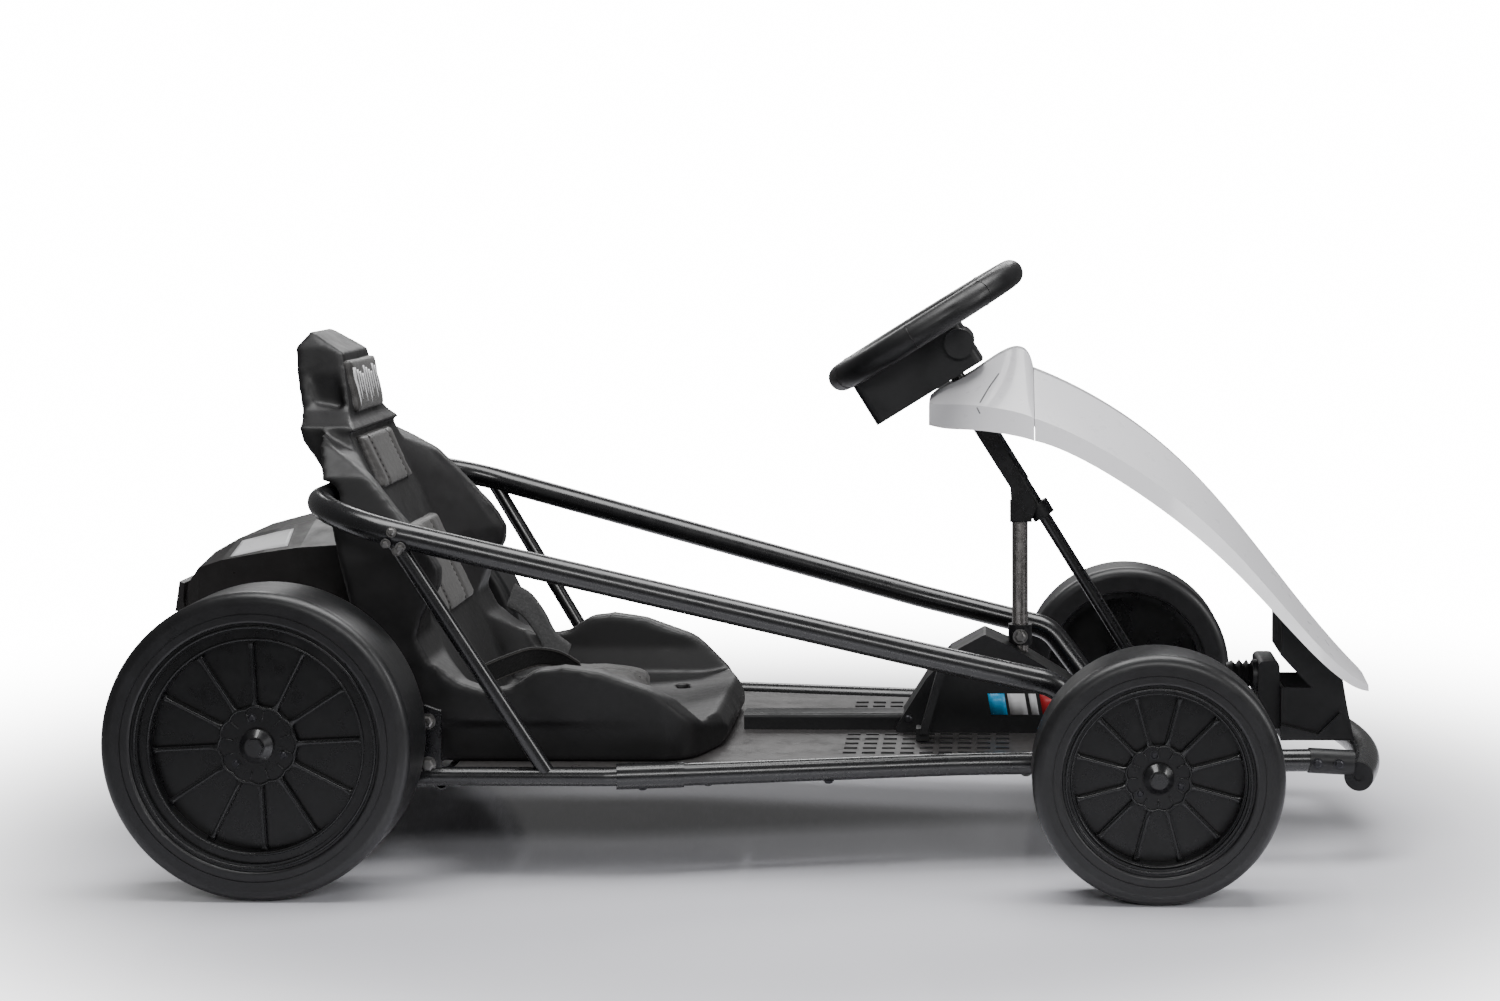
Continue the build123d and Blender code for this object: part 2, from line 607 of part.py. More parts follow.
def pad_on_back(levels, half, depth):
    """A pad that follows the hollow's back through the given heights."""
    rear = [(back_at(z) + SOFT, z) for z in levels]
    front = [(x + depth, z - 1) for x, z in reversed(rear)]
    return slab(rear + front, -half, half)


back_pad = pad_on_back((236, 306, 336), 96, 12)
upper_pad = pad_on_back((372, 412, 436), 74, 11)
save("back_pad", back_pad, upper_pad)
head_pad = slab(((-468, 514), (-457.8, 462), (-451.5, 463), (-461.7, 514)), -50, 50)
save("headrest_pad", Pos(SOFT, 0, 0) * head_pad)

# Rear cover over the drive, open below and closed in front by the seat
COVER_T = 4.0
COVER = (
    (-632.0, 262, 256, 196, 50, 108, 118),
    (-624.0, 288, 281, 196, 60, 120, 128),
    (-610.0, 308, 299, 196, 66, 130, 138),
    (-583.0, 323, 308, 196, 72, 138, 146),
    (-537.0, 335, 317, 196, 76, 146, 151),
    (-497.0, 344, 323, 196, 78, 150, 154),
    (-420.0, 350, 328, 196, 78, 151, 154),
)
cover_inner = [(x + (COVER_T if x < -630 else 0), *rest) for x, *rest in COVER]
cover = roof(COVER, ruled=True) - roof(cover_inner, COVER_T, 20, ruled=True)
cover = cover + slab(((-641, 250), (-636, 282), (-631, 280), (-632, 262), (-630, 250)), -112, 112)
cover = cover - slab(tub_side, -230, 230) - slab(head_side, -115, 115)
save("rear_cover", max(cover.solids(), key=lambda s: s.volume))

# Pedals
pedal = slab(((150, 118), (158, 118), (182, 200), (174, 203)), -100, -58)
pedal = pedal + block((146, 160), (-90, -68), (PAN_Z[1] + 1.5 + FIT, 122))
save("pedal_throttle", pedal)
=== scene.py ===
import math

import bmesh
import bpy
from bpy.props import FloatProperty, FloatVectorProperty, IntProperty, PointerProperty
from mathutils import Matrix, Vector
from mathutils.bvhtree import BVHTree


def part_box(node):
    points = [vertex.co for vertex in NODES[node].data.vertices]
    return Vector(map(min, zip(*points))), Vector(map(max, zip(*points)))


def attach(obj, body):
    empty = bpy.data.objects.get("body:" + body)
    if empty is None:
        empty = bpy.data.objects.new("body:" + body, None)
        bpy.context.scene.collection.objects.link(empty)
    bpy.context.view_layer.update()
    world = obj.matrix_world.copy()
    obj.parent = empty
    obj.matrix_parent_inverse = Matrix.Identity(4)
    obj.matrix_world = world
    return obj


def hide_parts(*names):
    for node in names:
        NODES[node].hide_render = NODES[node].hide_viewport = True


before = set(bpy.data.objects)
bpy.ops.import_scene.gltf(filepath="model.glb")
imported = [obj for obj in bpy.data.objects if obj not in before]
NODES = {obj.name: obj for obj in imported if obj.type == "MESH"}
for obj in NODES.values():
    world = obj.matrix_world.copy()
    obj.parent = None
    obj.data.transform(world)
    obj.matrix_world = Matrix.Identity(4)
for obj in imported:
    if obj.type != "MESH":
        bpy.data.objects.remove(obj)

bl_info = {
    "name": "Drift kart looks",
    "version": (1, 0, 0),
    "blender": (4, 5, 0),
    "location": "3D View > Sidebar > Kart",
    "description": "Finishes, soft pieces and small parts of a child's ride-on kart",
    "category": "Object",
}

MM = 0.001
CHASSIS = "chassis"
WHEEL_AXES = {"rear": (-0.4915, 0.1525), "front": (0.3882, 0.1225)}     # x and z
FACE_Y = 0.360            # outer face of every wheel
WHEEL_CENTRE = Vector((0.1555, 0.0, 0.5479))
SHAFT_TILT = math.radians(31.7)
SHAFT_DOWN = Vector((math.sin(SHAFT_TILT), 0.0, -math.cos(SHAFT_TILT)))
WHEEL_AHEAD = Vector((math.cos(SHAFT_TILT), 0.0, math.sin(SHAFT_TILT)))
SIDE_SIGNS = (("right", -1), ("left", 1))
AIR_LIGHT = 0.16          # strength of the studio's air as light
AIR_SEEN = 16.0           # and as what the camera sees
PAN_FLAT = 0.1074         # height above which the pan's raised bars begin; they are coloured near-black as painted shade
BLACK = (0.0065, 0.0065, 0.0075)
# near-black of the axle caps, also put on the pan's raised bars as painted shade
CAP_BLACK_AND_BAR_SHADE = (0.007, 0.007, 0.008)


# Sizes and colours


class KartFinishes(bpy.types.PropertyGroup):
    """Colours and gloss of the moulded and painted parts."""

    frame_colour: FloatVectorProperty(
        name="Frame paint", description="Colour of the painted tubes",
        subtype="COLOR", size=3, min=0, max=1, default=(0.0055, 0.0055, 0.0065))
    shell_colour: FloatVectorProperty(
        name="Seat shell", description="Colour of the moulded seat",
        subtype="COLOR", size=3, min=0, max=1, default=(0.0075, 0.0072, 0.0078))
    fairing_colour: FloatVectorProperty(
        name="Fairing", description="Colour of the front fairing",
        subtype="COLOR", size=3, min=0, max=1, default=(0.72, 0.715, 0.74))
    pad_colour: FloatVectorProperty(
        name="Pads", description="Colour of the seat pads",
        subtype="COLOR", size=3, min=0, max=1, default=(0.032, 0.030, 0.029))
    tyre_colour: FloatVectorProperty(
        name="Tyres", description="Colour of the tyres",
        subtype="COLOR", size=3, min=0, max=1, default=(0.0055, 0.0055, 0.0065))
    stripe_colour: FloatVectorProperty(
        name="Stripes", description="Colour of the stripes on the console",
        subtype="COLOR", size=3, min=0, max=1, default=(0.02, 0.33, 0.62))
    floor_colour: FloatVectorProperty(
        name="Floor", description="Colour of the studio floor",
        subtype="COLOR", size=3, min=0, max=1, default=(0.80, 0.80, 0.85))


class KartSizes(bpy.types.PropertyGroup):
    """Sizes of the soft pieces and the small parts."""

    shell_voxel: FloatProperty(
        name="Shell voxel", description="Grid size that rounds the seat shell's edges",
        subtype="DISTANCE", unit="LENGTH", default=0.0032, min=0.002, max=0.01)
    shell_rounding: IntProperty(
        name="Shell rounding", description="Smoothing passes over the seat shell",
        default=6, min=0, max=60)
    pad_voxel: FloatProperty(
        name="Pad voxel", description="Grid size of the pads before they are filled",
        subtype="DISTANCE", unit="LENGTH", default=0.0045, min=0.003, max=0.01)
    pad_swell: FloatProperty(
        name="Pad swell", description="How far a pad's cover may stand out",
        subtype="DISTANCE", unit="LENGTH", default=0.006, min=0.0, max=0.02)
    webbing_width: FloatProperty(
        name="Webbing width", description="Width of the lap belt",
        subtype="DISTANCE", unit="LENGTH", default=0.038, min=0.02, max=0.06)
    stitch_pitch: FloatProperty(
        name="Stitch pitch", description="Distance from stitch to stitch",
        subtype="DISTANCE", unit="LENGTH", default=0.0062, min=0.002, max=0.02)
    bolt_radius: FloatProperty(
        name="Bolt radius", description="Half the width of a hexagon bolt head",
        subtype="DISTANCE", unit="LENGTH", default=0.0062, min=0.002, max=0.02)
    screw_radius: FloatProperty(
        name="Screw radius", description="Radius of a round screw head",
        subtype="DISTANCE", unit="LENGTH", default=0.0042, min=0.002, max=0.02)


def finishes():
    return bpy.context.scene.kart_finishes


def sizes():
    return bpy.context.scene.kart_sizes


# Mesh helpers


def link(mesh, name):
    piece = bpy.data.objects.new(name, mesh)
    bpy.context.scene.collection.objects.link(piece)
    return piece


def shade(mesh):
    """Smooth shading on every face."""
    mesh.polygons.foreach_set("use_smooth", [True] * len(mesh.polygons))
    mesh.update()


def tidy_normals(mesh):
    """Merge doubles and turn every face outwards."""
    bm = bmesh.new()
    bm.from_mesh(mesh)
    bmesh.ops.remove_doubles(bm, verts=bm.verts, dist=1e-5)
    bmesh.ops.recalc_face_normals(bm, faces=bm.faces)
    bm.to_mesh(mesh)
    bm.free()


def from_faces(name, points, faces):
    """A smooth closed piece from its points and faces."""
    mesh = bpy.data.meshes.new(name)
    mesh.from_pydata([Vector(p) for p in points], [], faces)
    tidy_normals(mesh)
    shade(mesh)
    return link(mesh, name)


def apply_modifiers(piece):
    """Replace the piece's mesh by its evaluated one and drop the modifiers."""
    depsgraph = bpy.context.evaluated_depsgraph_get()
    mesh = bpy.data.meshes.new_from_object(piece.evaluated_get(depsgraph), depsgraph=depsgraph)
    old = piece.data
    piece.modifiers.clear()
    piece.data = mesh
    bpy.data.meshes.remove(old)
    return piece


def loft_rings(name, rings):
    """A closed skin through rings of equal length, capped at both ends."""
    points = [p for ring in rings for p in ring]
    count = len(rings[0])
    faces = []
    for i in range(len(rings) - 1):
        for j in range(count):
            a, b = i * count + j, i * count + (j + 1) % count
            faces.append((a, b, b + count, a + count))
    faces.append(tuple(reversed(range(count))))
    faces.append(tuple(range((len(rings) - 1) * count, len(rings) * count)))
    return from_faces(name, points, faces)


def bevelled(piece, width, angle):
    """Break every edge sharper than angle, in degrees."""
    modifier = piece.modifiers.new("edge", "BEVEL")
    modifier.width = width
    modifier.segments = 1
    modifier.limit_method = "ANGLE"
    modifier.angle_limit = math.radians(angle)
    return apply_modifiers(piece)


def subdivided(piece):
    modifier = piece.modifiers.new("smooth", "SUBSURF")
    modifier.levels = 1
    modifier.render_levels = 1
    return apply_modifiers(piece)


def dress(piece, look):
    piece.data.materials.clear()
    piece.data.materials.append(look)
    return piece


# Materials


class Look:
    """Builds one node material step by step."""

    def __init__(self, name):
        self.material = bpy.data.materials.new(name)
        self.material.use_nodes = True
        self.tree = self.material.node_tree
        self.tree.nodes.clear()
        self.shader = self.add("ShaderNodeBsdfPrincipled", 400)
        out = self.add("ShaderNodeOutputMaterial", 700)
        self.wire(self.shader.outputs[0], out.inputs[0])
        self.place = self.add("ShaderNodeTexCoord", -1200).outputs["Object"]

    def add(self, kind, x=0):
        node = self.tree.nodes.new(kind)
        node.location = (x, -60 * len(self.tree.nodes))
        return node

    def wire(self, a, b):
        self.tree.links.new(a, b)

    def maths(self, operation, a, b=None, c=None):
        node = self.add("ShaderNodeMath", -400)
        node.operation = operation
        for socket, value in zip(node.inputs, (a, b, c)):
            if value is None:
                continue
            if isinstance(value, (int, float)):
                socket.default_value = value
            else:
                self.wire(value, socket)
        return node.outputs[0]

    def length(self, a, b):
        """Length of the flat vector of a and b."""
        return self.maths("SQRT", self.maths("ADD", self.maths("MULTIPLY", a, a),
                                             self.maths("MULTIPLY", b, b)))

    def noise(self, scale, detail=3, roughness=0.5, place=None):
        node = self.add("ShaderNodeTexNoise", -900)
        node.inputs["Scale"].default_value = scale
        node.inputs["Detail"].default_value = detail
        node.inputs["Roughness"].default_value = roughness
        self.wire(place or self.place, node.inputs["Vector"])
        return node.outputs["Fac"]

    def cells(self, scale, feature="F1"):
        node = self.add("ShaderNodeTexVoronoi", -900)
        node.feature = feature
        node.inputs["Scale"].default_value = scale
        self.wire(self.place, node.inputs["Vector"])
        return node.outputs["Distance"]

    def spread(self, value, low, high, start=0.0, end=1.0):
        node = self.add("ShaderNodeMapRange", -600)
        node.inputs["From Min"].default_value = start
        node.inputs["From Max"].default_value = end
        node.inputs["To Min"].default_value = low
        node.inputs["To Max"].default_value = high
        self.wire(value, node.inputs["Value"])
        return node.outputs["Result"]

    def tints(self, value, *stops):
        """Colour from a value: stops are (position, colour)."""
        node = self.add("ShaderNodeValToRGB", -300)
        ramp = node.color_ramp.elements
        while len(ramp) < len(stops):
            ramp.new(0.5)
        for element, (position, colour) in zip(ramp, stops):
            element.position = position
            element.color = (*colour, 1.0)
        self.wire(value, node.inputs["Fac"])
        return node.outputs["Color"]

    def axes(self, place=None):
        node = self.add("ShaderNodeSeparateXYZ", -1000)
        self.wire(place or self.place, node.inputs[0])
        return node.outputs

    def moved(self, origin=(0, 0, 0), scale=(1, 1, 1)):
        node = self.add("ShaderNodeMapping", -1100)
        node.vector_type = "TEXTURE"
        node.inputs["Location"].default_value = origin
        node.inputs["Scale"].default_value = scale
        self.wire(self.place, node.inputs["Vector"])
        return node.outputs[0]

    def colour(self, output):
        self.wire(output, self.shader.inputs["Base Color"])

    def rough(self, output):
        self.wire(output, self.shader.inputs["Roughness"])

    def relief(self, height, distance, strength=1.0):
        node = self.add("ShaderNodeBump", 100)
        node.inputs["Strength"].default_value = strength
        node.inputs["Distance"].default_value = distance
        self.wire(height, node.inputs["Height"])
        if self.shader.inputs["Normal"].links:
            self.wire(self.shader.inputs["Normal"].links[0].from_socket, node.inputs["Normal"])
        self.wire(node.outputs[0], self.shader.inputs["Normal"])

    def fixed(self, **values):
        for name, value in values.items():
            self.shader.inputs[name.replace("_", " ")].default_value = value


def scaled(colour, factor):
    return tuple(min(1.0, c * factor) for c in colour)


def moulded_plastic(name, colour, rough, grain=900.0, depth=0.00012, wear=1.5):
    """Injection moulding: fine grain, uneven gloss, faint dust."""
    look = Look(name)
    blotch = look.noise(14, 4, 0.6)
    look.colour(look.tints(blotch, (0.3, scaled(colour, 0.82)), (0.62, colour),
                           (0.8, scaled(colour, wear))))
    look.rough(look.spread(look.noise(38, 5, 0.65), rough - 0.09, rough + 0.12, 0.3, 0.7))
    look.relief(look.noise(grain, 2, 0.5), depth, 0.35)
    look.relief(look.noise(22, 2, 0.4), 0.0005, 0.15)
    look.fixed(Specular_IOR_Level=0.42)
    return look


def tube_paint(name, colour):
    """Gloss powder coat with orange peel and small rubbed spots."""
    look = Look(name)
    rubbed = look.noise(160, 5, 0.7)
    look.colour(look.tints(rubbed, (0.0, colour), (0.7, colour), (0.86, scaled(colour, 2.0))))
    look.rough(look.spread(look.noise(55, 5, 0.7), 0.2, 0.36, 0.3, 0.72))
    look.relief(look.cells(420), 0.00005, 0.2)
    look.relief(look.noise(90, 3, 0.5), 0.00012, 0.2)
    look.fixed(Coat_Weight=0.4, Coat_Roughness=0.16, Specular_IOR_Level=0.5)
    return look


def bright_steel(name, colour, rough):
    """Plated steel, brushed along one way and slightly smoked."""
    look = Look(name)
    haze = look.noise(40, 3, 0.6)
    look.colour(look.tints(haze, (0.25, scaled(colour, 0.75)), (0.7, colour)))
    look.rough(look.spread(look.noise(160, 4, 0.6), rough - 0.08, rough + 0.14, 0.3, 0.7))
    look.relief(look.noise(900, 2, 0.5, look.moved(scale=(1, 1, 14))), 0.00002, 0.3)
    look.fixed(Metallic=0.9)
    return look


def rubber(name, colour, axle):
    """Foam rubber tyre: fine pores, moulding rings and a scuffed tread."""
    look = Look(name)
    place = look.moved(origin=(axle[0], 0, axle[1]))
    x, _, z = look.axes(place)
    rings = look.maths("SINE", look.maths("MULTIPLY", look.length(x, z), 5200.0))
    dust = look.noise(26, 6, 0.7)
    look.colour(look.tints(dust, (0.3, scaled(colour, 0.8)), (0.58, colour),
                           (0.85, scaled(colour, 2.1))))
    look.rough(look.spread(look.noise(60, 5, 0.7), 0.34, 0.46, 0.3, 0.7))
    look.relief(rings, 0.00003, 0.15)
    look.relief(look.cells(1100), 0.00008, 0.2)
    look.fixed(Specular_IOR_Level=0.55)
    return look


def gloss_shell(name, colour, rough):
    """Painted gloss moulding, with a faint ripple and dust."""
    look = Look(name)
    soft = look.noise(5, 3, 0.5)
    look.colour(look.tints(soft, (0.25, scaled(colour, 0.97)), (0.7, colour)))
    look.rough(look.spread(look.noise(60, 4, 0.6), rough - 0.05, rough + 0.1, 0.3, 0.7))
    look.relief(look.noise(30, 2, 0.4), 0.0008, 0.12)
    look.fixed(Coat_Weight=0.5, Coat_Roughness=0.08, Specular_IOR_Level=0.5)
    return look


def leather(name, colour):
    """Stitched leathercloth: creased grain over a soft sheen."""
    look = Look(name)
    patch = look.noise(11, 4, 0.6)
    look.colour(look.tints(patch, (0.25, scaled(colour, 0.75)), (0.6, colour),
                           (0.85, scaled(colour, 1.35))))
    look.rough(look.spread(look.noise(90, 4, 0.6), 0.36, 0.55, 0.3, 0.7))
    look.relief(look.cells(620), 0.0004, 0.45)
    look.relief(look.cells(190, "F2"), 0.0005, 0.2)
    look.fixed(Sheen_Weight=0.15, Sheen_Roughness=0.4)
    return look


def webbing(name, colour):
    """Woven belt: cross ribs and a herringbone of fine yarn."""
    look = Look(name)
    along = look.add("ShaderNodeUVMap", -1200).outputs["UV"]
    u, v, _ = look.axes(along)
    ribs = look.maths("SINE", look.maths("MULTIPLY", u, 3900.0))
    yarn = look.maths("SINE", look.maths("MULTIPLY", look.maths("ADD", v, u), 5200.0))
    weave = look.maths("MULTIPLY_ADD", yarn, 0.4, ribs)
    # Colour follows the weave's relief: painted shade in its troughs and painted highlight on its
    # ribs.
    look.colour(look.tints(look.spread(weave, 0, 1, -1.4, 1.4), (0.2, scaled(colour, 0.6)),
                           (0.8, scaled(colour, 1.5))))
    look.rough(look.spread(look.noise(300, 3), 0.6, 0.85, 0.3, 0.7))
    look.relief(weave, 0.0003, 0.6)
    look.fixed(Sheen_Weight=0.1, Sheen_Roughness=0.5)
    return look


LOOKS = {}
PAINTED = ("rail_", "hoop", "struts", "cross_", "bumper_bar", "front_axle", "knuckle",
           "tie_rod", "axle_plates", "fairing_stay")
LOOK_BY_NODE = {"rear_cover": "cover", "seat_shell": "shell", "steering_rim": "grip",
                "column_post": "post", "steering_shaft": "shaft", "floor_pan": "pan",
                "rear_axle": "dark_steel", "fairing_cowl": "fairing",
                "fairing_bonnet": "fairing"}
LOOK_BY_START = (("tyre_rear", "tyre_rear"), ("tyre_front", "tyre_front"), ("rim_", "rim"),
                 ("hub_cap", "cap"), *((start, "frame_paint") for start in PAINTED))


class KART_OT_finishes(bpy.types.Operator):
    """Give every part of the frame its painted, moulded or plated finish."""

    bl_idname = "kart.finishes"
    bl_label = "Finishes"

    def execute(self, context):
        f = finishes()
        made = {
            "frame_paint": tube_paint("frame_paint_gloss", tuple(f.frame_colour)),
            "tyre_rear": rubber("tyre_rubber_rear", tuple(f.tyre_colour), WHEEL_AXES["rear"]),
            "tyre_front": rubber("tyre_rubber_front", tuple(f.tyre_colour), WHEEL_AXES["front"]),
            "rim": moulded_plastic("rim_moulding", (0.0045, 0.0045, 0.005), 0.3, 600, 0.00006, 1.4),
            "cap": gloss_shell("axle_cap_dark", CAP_BLACK_AND_BAR_SHADE, 0.3),
            "post": bright_steel("post_smoked_chrome", (0.42, 0.40, 0.385), 0.22),
            "shaft": tube_paint("shaft_black", BLACK),
            "fairing": gloss_shell("fairing_gloss", tuple(f.fairing_colour), 0.3),
            "cover": moulded_plastic("rear_cover_satin", (0.014, 0.0125, 0.0125), 0.36, 500),
            "shell": moulded_plastic("seat_shell_grained", tuple(f.shell_colour), 0.46, 1400),
            "plastic": moulded_plastic("black_moulding", BLACK, 0.44),
            "grip": moulded_plastic("wheel_rim_rubber", (0.006, 0.006, 0.0068), 0.42, 900, 0.00006),
            "pad": leather("pad_leathercloth", tuple(f.pad_colour)),
            "webbing": webbing("belt_webbing", (0.006, 0.006, 0.0065)),
            "steel": bright_steel("fastener_steel", (0.22, 0.215, 0.21), 0.32),
            "dark_steel": bright_steel("fastener_black", (0.05, 0.05, 0.055), 0.34),
            "thread": moulded_plastic("stitch_thread", (0.01, 0.01, 0.01), 0.7),
            # Raised wheel trim and grip seams: real satin gloss, and a colour lighter than the rim
            # and grip plastic as a painted highlight.
            "edge": moulded_plastic("rim_edge_satin_painted_highlight", (0.010, 0.010, 0.011), 0.24, 500, 0.00004),
            "seam": moulded_plastic("seam_shadow", (0.16, 0.16, 0.17), 0.6),
            "piping": moulded_plastic("belt_edge_thread", (0.09, 0.085, 0.08), 0.6),
        }
        # The pan's raised bars get near-black colour: painted shade for the dark look of its tread
        # marks.
        pan = moulded_plastic("pan_grey_moulding_bar_shade", (0.05, 0.047, 0.047), 0.36, 700)
        height = pan.axes()[2]
        raised = pan.maths("GREATER_THAN", height, PAN_FLAT)
        mix = pan.add("ShaderNodeMix", 100)
        mix.data_type = "RGBA"
        base = pan.shader.inputs["Base Color"].links[0].from_socket
        pan.wire(raised, mix.inputs[0])
        pan.wire(base, mix.inputs[6])
        mix.inputs[7].default_value = (*CAP_BLACK_AND_BAR_SHADE, 1)
        pan.colour(mix.outputs[2])
        made["pan"] = pan
        LOOKS.update({key: look.material for key, look in made.items()})
        for name, node in NODES.items():
            key = LOOK_BY_NODE.get(name)
            if key is None:
                key = next((look for start, look in LOOK_BY_START if name.startswith(start)),
                           "plastic")
            slots = node.material_slots
            if not slots:
                node.data.materials.append(LOOKS[key])
            for slot in slots:
                slot.material = LOOKS[key]
        return {"FINISHED"}


class KART_OT_seat_shell(bpy.types.Operator):
    """Round the seat shell's edges as a blow-moulded seat has them."""

    bl_idname = "kart.seat_shell"
    bl_label = "Seat shell"

    def execute(self, context):
        s = sizes()
        mesh = NODES["seat_shell"].data.copy()
        tidy_normals(mesh)
        shell = link(mesh, "seat_shell_moulded")
        grid = shell.modifiers.new("grid", "REMESH")
        grid.mode = "VOXEL"
        grid.voxel_size = s.shell_voxel
        soft = shell.modifiers.new("soft", "SMOOTH")
        soft.factor = 0.5
        soft.iterations = s.shell_rounding
        apply_modifiers(shell)
        shade(shell.data)
        dress(shell, LOOKS["shell"])
        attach(shell, CHASSIS)
        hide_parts("seat_shell")
        return {"FINISHED"}


# Pads


FILLING_FRAMES = 20


def filled(piece, pressure, cap, held):
    """Fill a closed pad: cloth with air in it, its move capped."""
    grid = piece.modifiers.new("grid", "REMESH")
    grid.mode = "VOXEL"
    grid.voxel_size = sizes().pad_voxel
    apply_modifiers(piece)
    before = [v.co.copy() for v in piece.data.vertices]
    scene = bpy.context.scene
    still = piece.vertex_groups.new(name="held")
    still.add([v.index for v in piece.data.vertices if held(v.co)], 1.0, "REPLACE")
    cloth = piece.modifiers.new("cover", "CLOTH")
    cloth.settings.quality = 6
    cloth.settings.mass = 0.2
    cloth.settings.tension_stiffness = 12
    cloth.settings.compression_stiffness = 12
    cloth.settings.bending_stiffness = 0.6
    cloth.settings.use_pressure = True
    cloth.settings.uniform_pressure_force = pressure
    cloth.settings.vertex_group_mass = "held"
    cloth.settings.effector_weights.gravity = 0
    cloth.collision_settings.use_collision = False
    cloth.collision_settings.use_self_collision = False
    for step in range(1, FILLING_FRAMES + 1):
        scene.frame_set(step)
        bpy.context.view_layer.update()
    depsgraph = bpy.context.evaluated_depsgraph_get()
    blown = piece.evaluated_get(depsgraph).data
    after = [v.co.copy() for v in blown.vertices]
    piece.modifiers.clear()
    scene.frame_set(1)
    for v, start, end in zip(piece.data.vertices, before, after):
        move = end - start
        if move.length > cap:
            move = move * (cap / move.length)
        v.co = start + move
    piece.vertex_groups.clear()
    shade(piece.data)
    return piece


def pad_from(name, outline, half, corner):
    """A pad drawn out across the kart from its side outline, with rounded ends."""
    steps = ((-half, 0.55), (-half + corner * 0.3, 0.85), (-half + corner, 1.0),
             (half - corner, 1.0), (half - corner * 0.3, 0.85), (half, 0.55))
    centre = Vector((sum(x for x, z in outline) / len(outline),
                     sum(z for x, z in outline) / len(outline)))
    rings = []
    for y, share in steps:
        ring = []
        for x, z in outline:
            point = centre + (Vector((x, z)) - centre) * (0.94 + 0.06 * share)
            ring.append((point.x * MM, y * MM, point.y * MM))
        rings.append(ring)
    return loft_rings(name, rings)


def press_seams(piece, seam_y, width, depth, axis):
    """Pull the cover in along its two seams, one on each side of the middle."""
    for v in piece.data.vertices:
        near = min(abs(v.co.y - seam_y), abs(v.co.y + seam_y))
        v.co += axis * (depth * math.exp(-((near / width) ** 2)))
    piece.data.update()


# side outlines of the pads, x and z in millimetres
LOWER_PAD = ((-416, 335), (-403, 306), (-372, 238), (-357, 238), (-389, 306), (-402.5, 335))
UPPER_PAD = ((-462, 435), (-452, 412), (-435, 374), (-421, 374), (-439, 412), (-449.5, 435))
HEAD_PAD = ((-476, 514), (-465, 457), (-451.5, 457), (-462.5, 514))
BACK_LEAN = Vector((-0.91, 0, -0.41))
CUSHION_CORNERS = 32
CUSHION_SQUARE = 0.42     # power that squares the round outline
CUSHION_GAP = 0.004       # between the cushion and the shell, all round
CUSHION_SEAM_Y = 0.040
BACK_SEAM_Y = 0.046


def covered(pad, node):
    """Smooth a filled pad, cover it and put it in the place of its plain solid."""
    subdivided(pad)
    shade(pad.data)
    dress(pad, LOOKS["pad"])
    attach(pad, CHASSIS)
    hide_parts(node)


class KART_OT_pads(bpy.types.Operator):
    """Fill the seat cushion, the back pads and the headrest pad."""

    bl_idname = "kart.pads"
    bl_label = "Pads"

    def execute(self, context):
        swell = sizes().pad_swell
        low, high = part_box("seat_cushion")
        half_x = (high.x - low.x) / 2 - CUSHION_GAP
        half_y = (high.y - low.y) / 2 - CUSHION_GAP
        mid_x = (high.x + low.x) / 2
        rings = []
        for share, z in ((0.90, low.z), (1.0, low.z + 0.006), (1.0, high.z - 0.010),
                         (0.93, high.z - 0.004), (0.8, high.z - 0.002)):
            ring = []
            for k in range(CUSHION_CORNERS):
                a = 2 * math.pi * (k + 0.5) / CUSHION_CORNERS
                c, t = math.cos(a), math.sin(a)
                ring.append((mid_x + half_x * share * math.copysign(abs(c) ** CUSHION_SQUARE, c),
                             half_y * share * math.copysign(abs(t) ** CUSHION_SQUARE, t), z))
            rings.append(ring)
        cushion = loft_rings("cushion_filled", rings)
        filled(cushion, 4.0, swell, lambda p: p.z < low.z + 0.004)
        press_seams(cushion, CUSHION_SEAM_Y, 0.005, 0.003, Vector((0, 0, -1)))
        covered(cushion, "seat_cushion")
        for name, outline, half in (("back_pad_lower", LOWER_PAD, 95.0),
                                    ("back_pad_upper", UPPER_PAD, 73.0)):
            pad = pad_from(name, outline, half, 12)
            filled(pad, 3.0, swell * 0.3, lambda p: False)
            press_seams(pad, BACK_SEAM_Y, 0.004, 0.0022, BACK_LEAN)
            covered(pad, "back_pad")
        head = pad_from("headrest_pad_filled", HEAD_PAD, 62.0, 8)
        filled(head, 2.5, swell * 0.25, lambda p: False)
        covered(head, "headrest_pad")
        return {"FINISHED"}


# Repeated small parts


def new_tree(name, inputs):
    """An empty geometry tree with named float inputs; gives the tree and its ends."""
    tree = bpy.data.node_groups.new(name, "GeometryNodeTree")
    face = tree.interface
    face.new_socket("Geometry", in_out="INPUT", socket_type="NodeSocketGeometry")
    face.new_socket("Geometry", in_out="OUTPUT", socket_type="NodeSocketGeometry")
    for label, value in inputs.items():
        socket = face.new_socket(label, in_out="INPUT", socket_type="NodeSocketFloat")
        socket.default_value = value
        socket.subtype = "DISTANCE"
    return tree, tree.nodes.new("NodeGroupInput"), tree.nodes.new("NodeGroupOutput")


def finish_tree(tree, geometry, ends, look):
    whole = tree.nodes.new("GeometryNodeRealizeInstances")
    paint = tree.nodes.new("GeometryNodeSetMaterial")
    paint.inputs["Material"].default_value = look
    tree.links.new(geometry, whole.inputs[0])
    tree.links.new(whole.outputs[0], paint.inputs["Geometry"])
    tree.links.new(paint.outputs[0], ends.inputs[0])


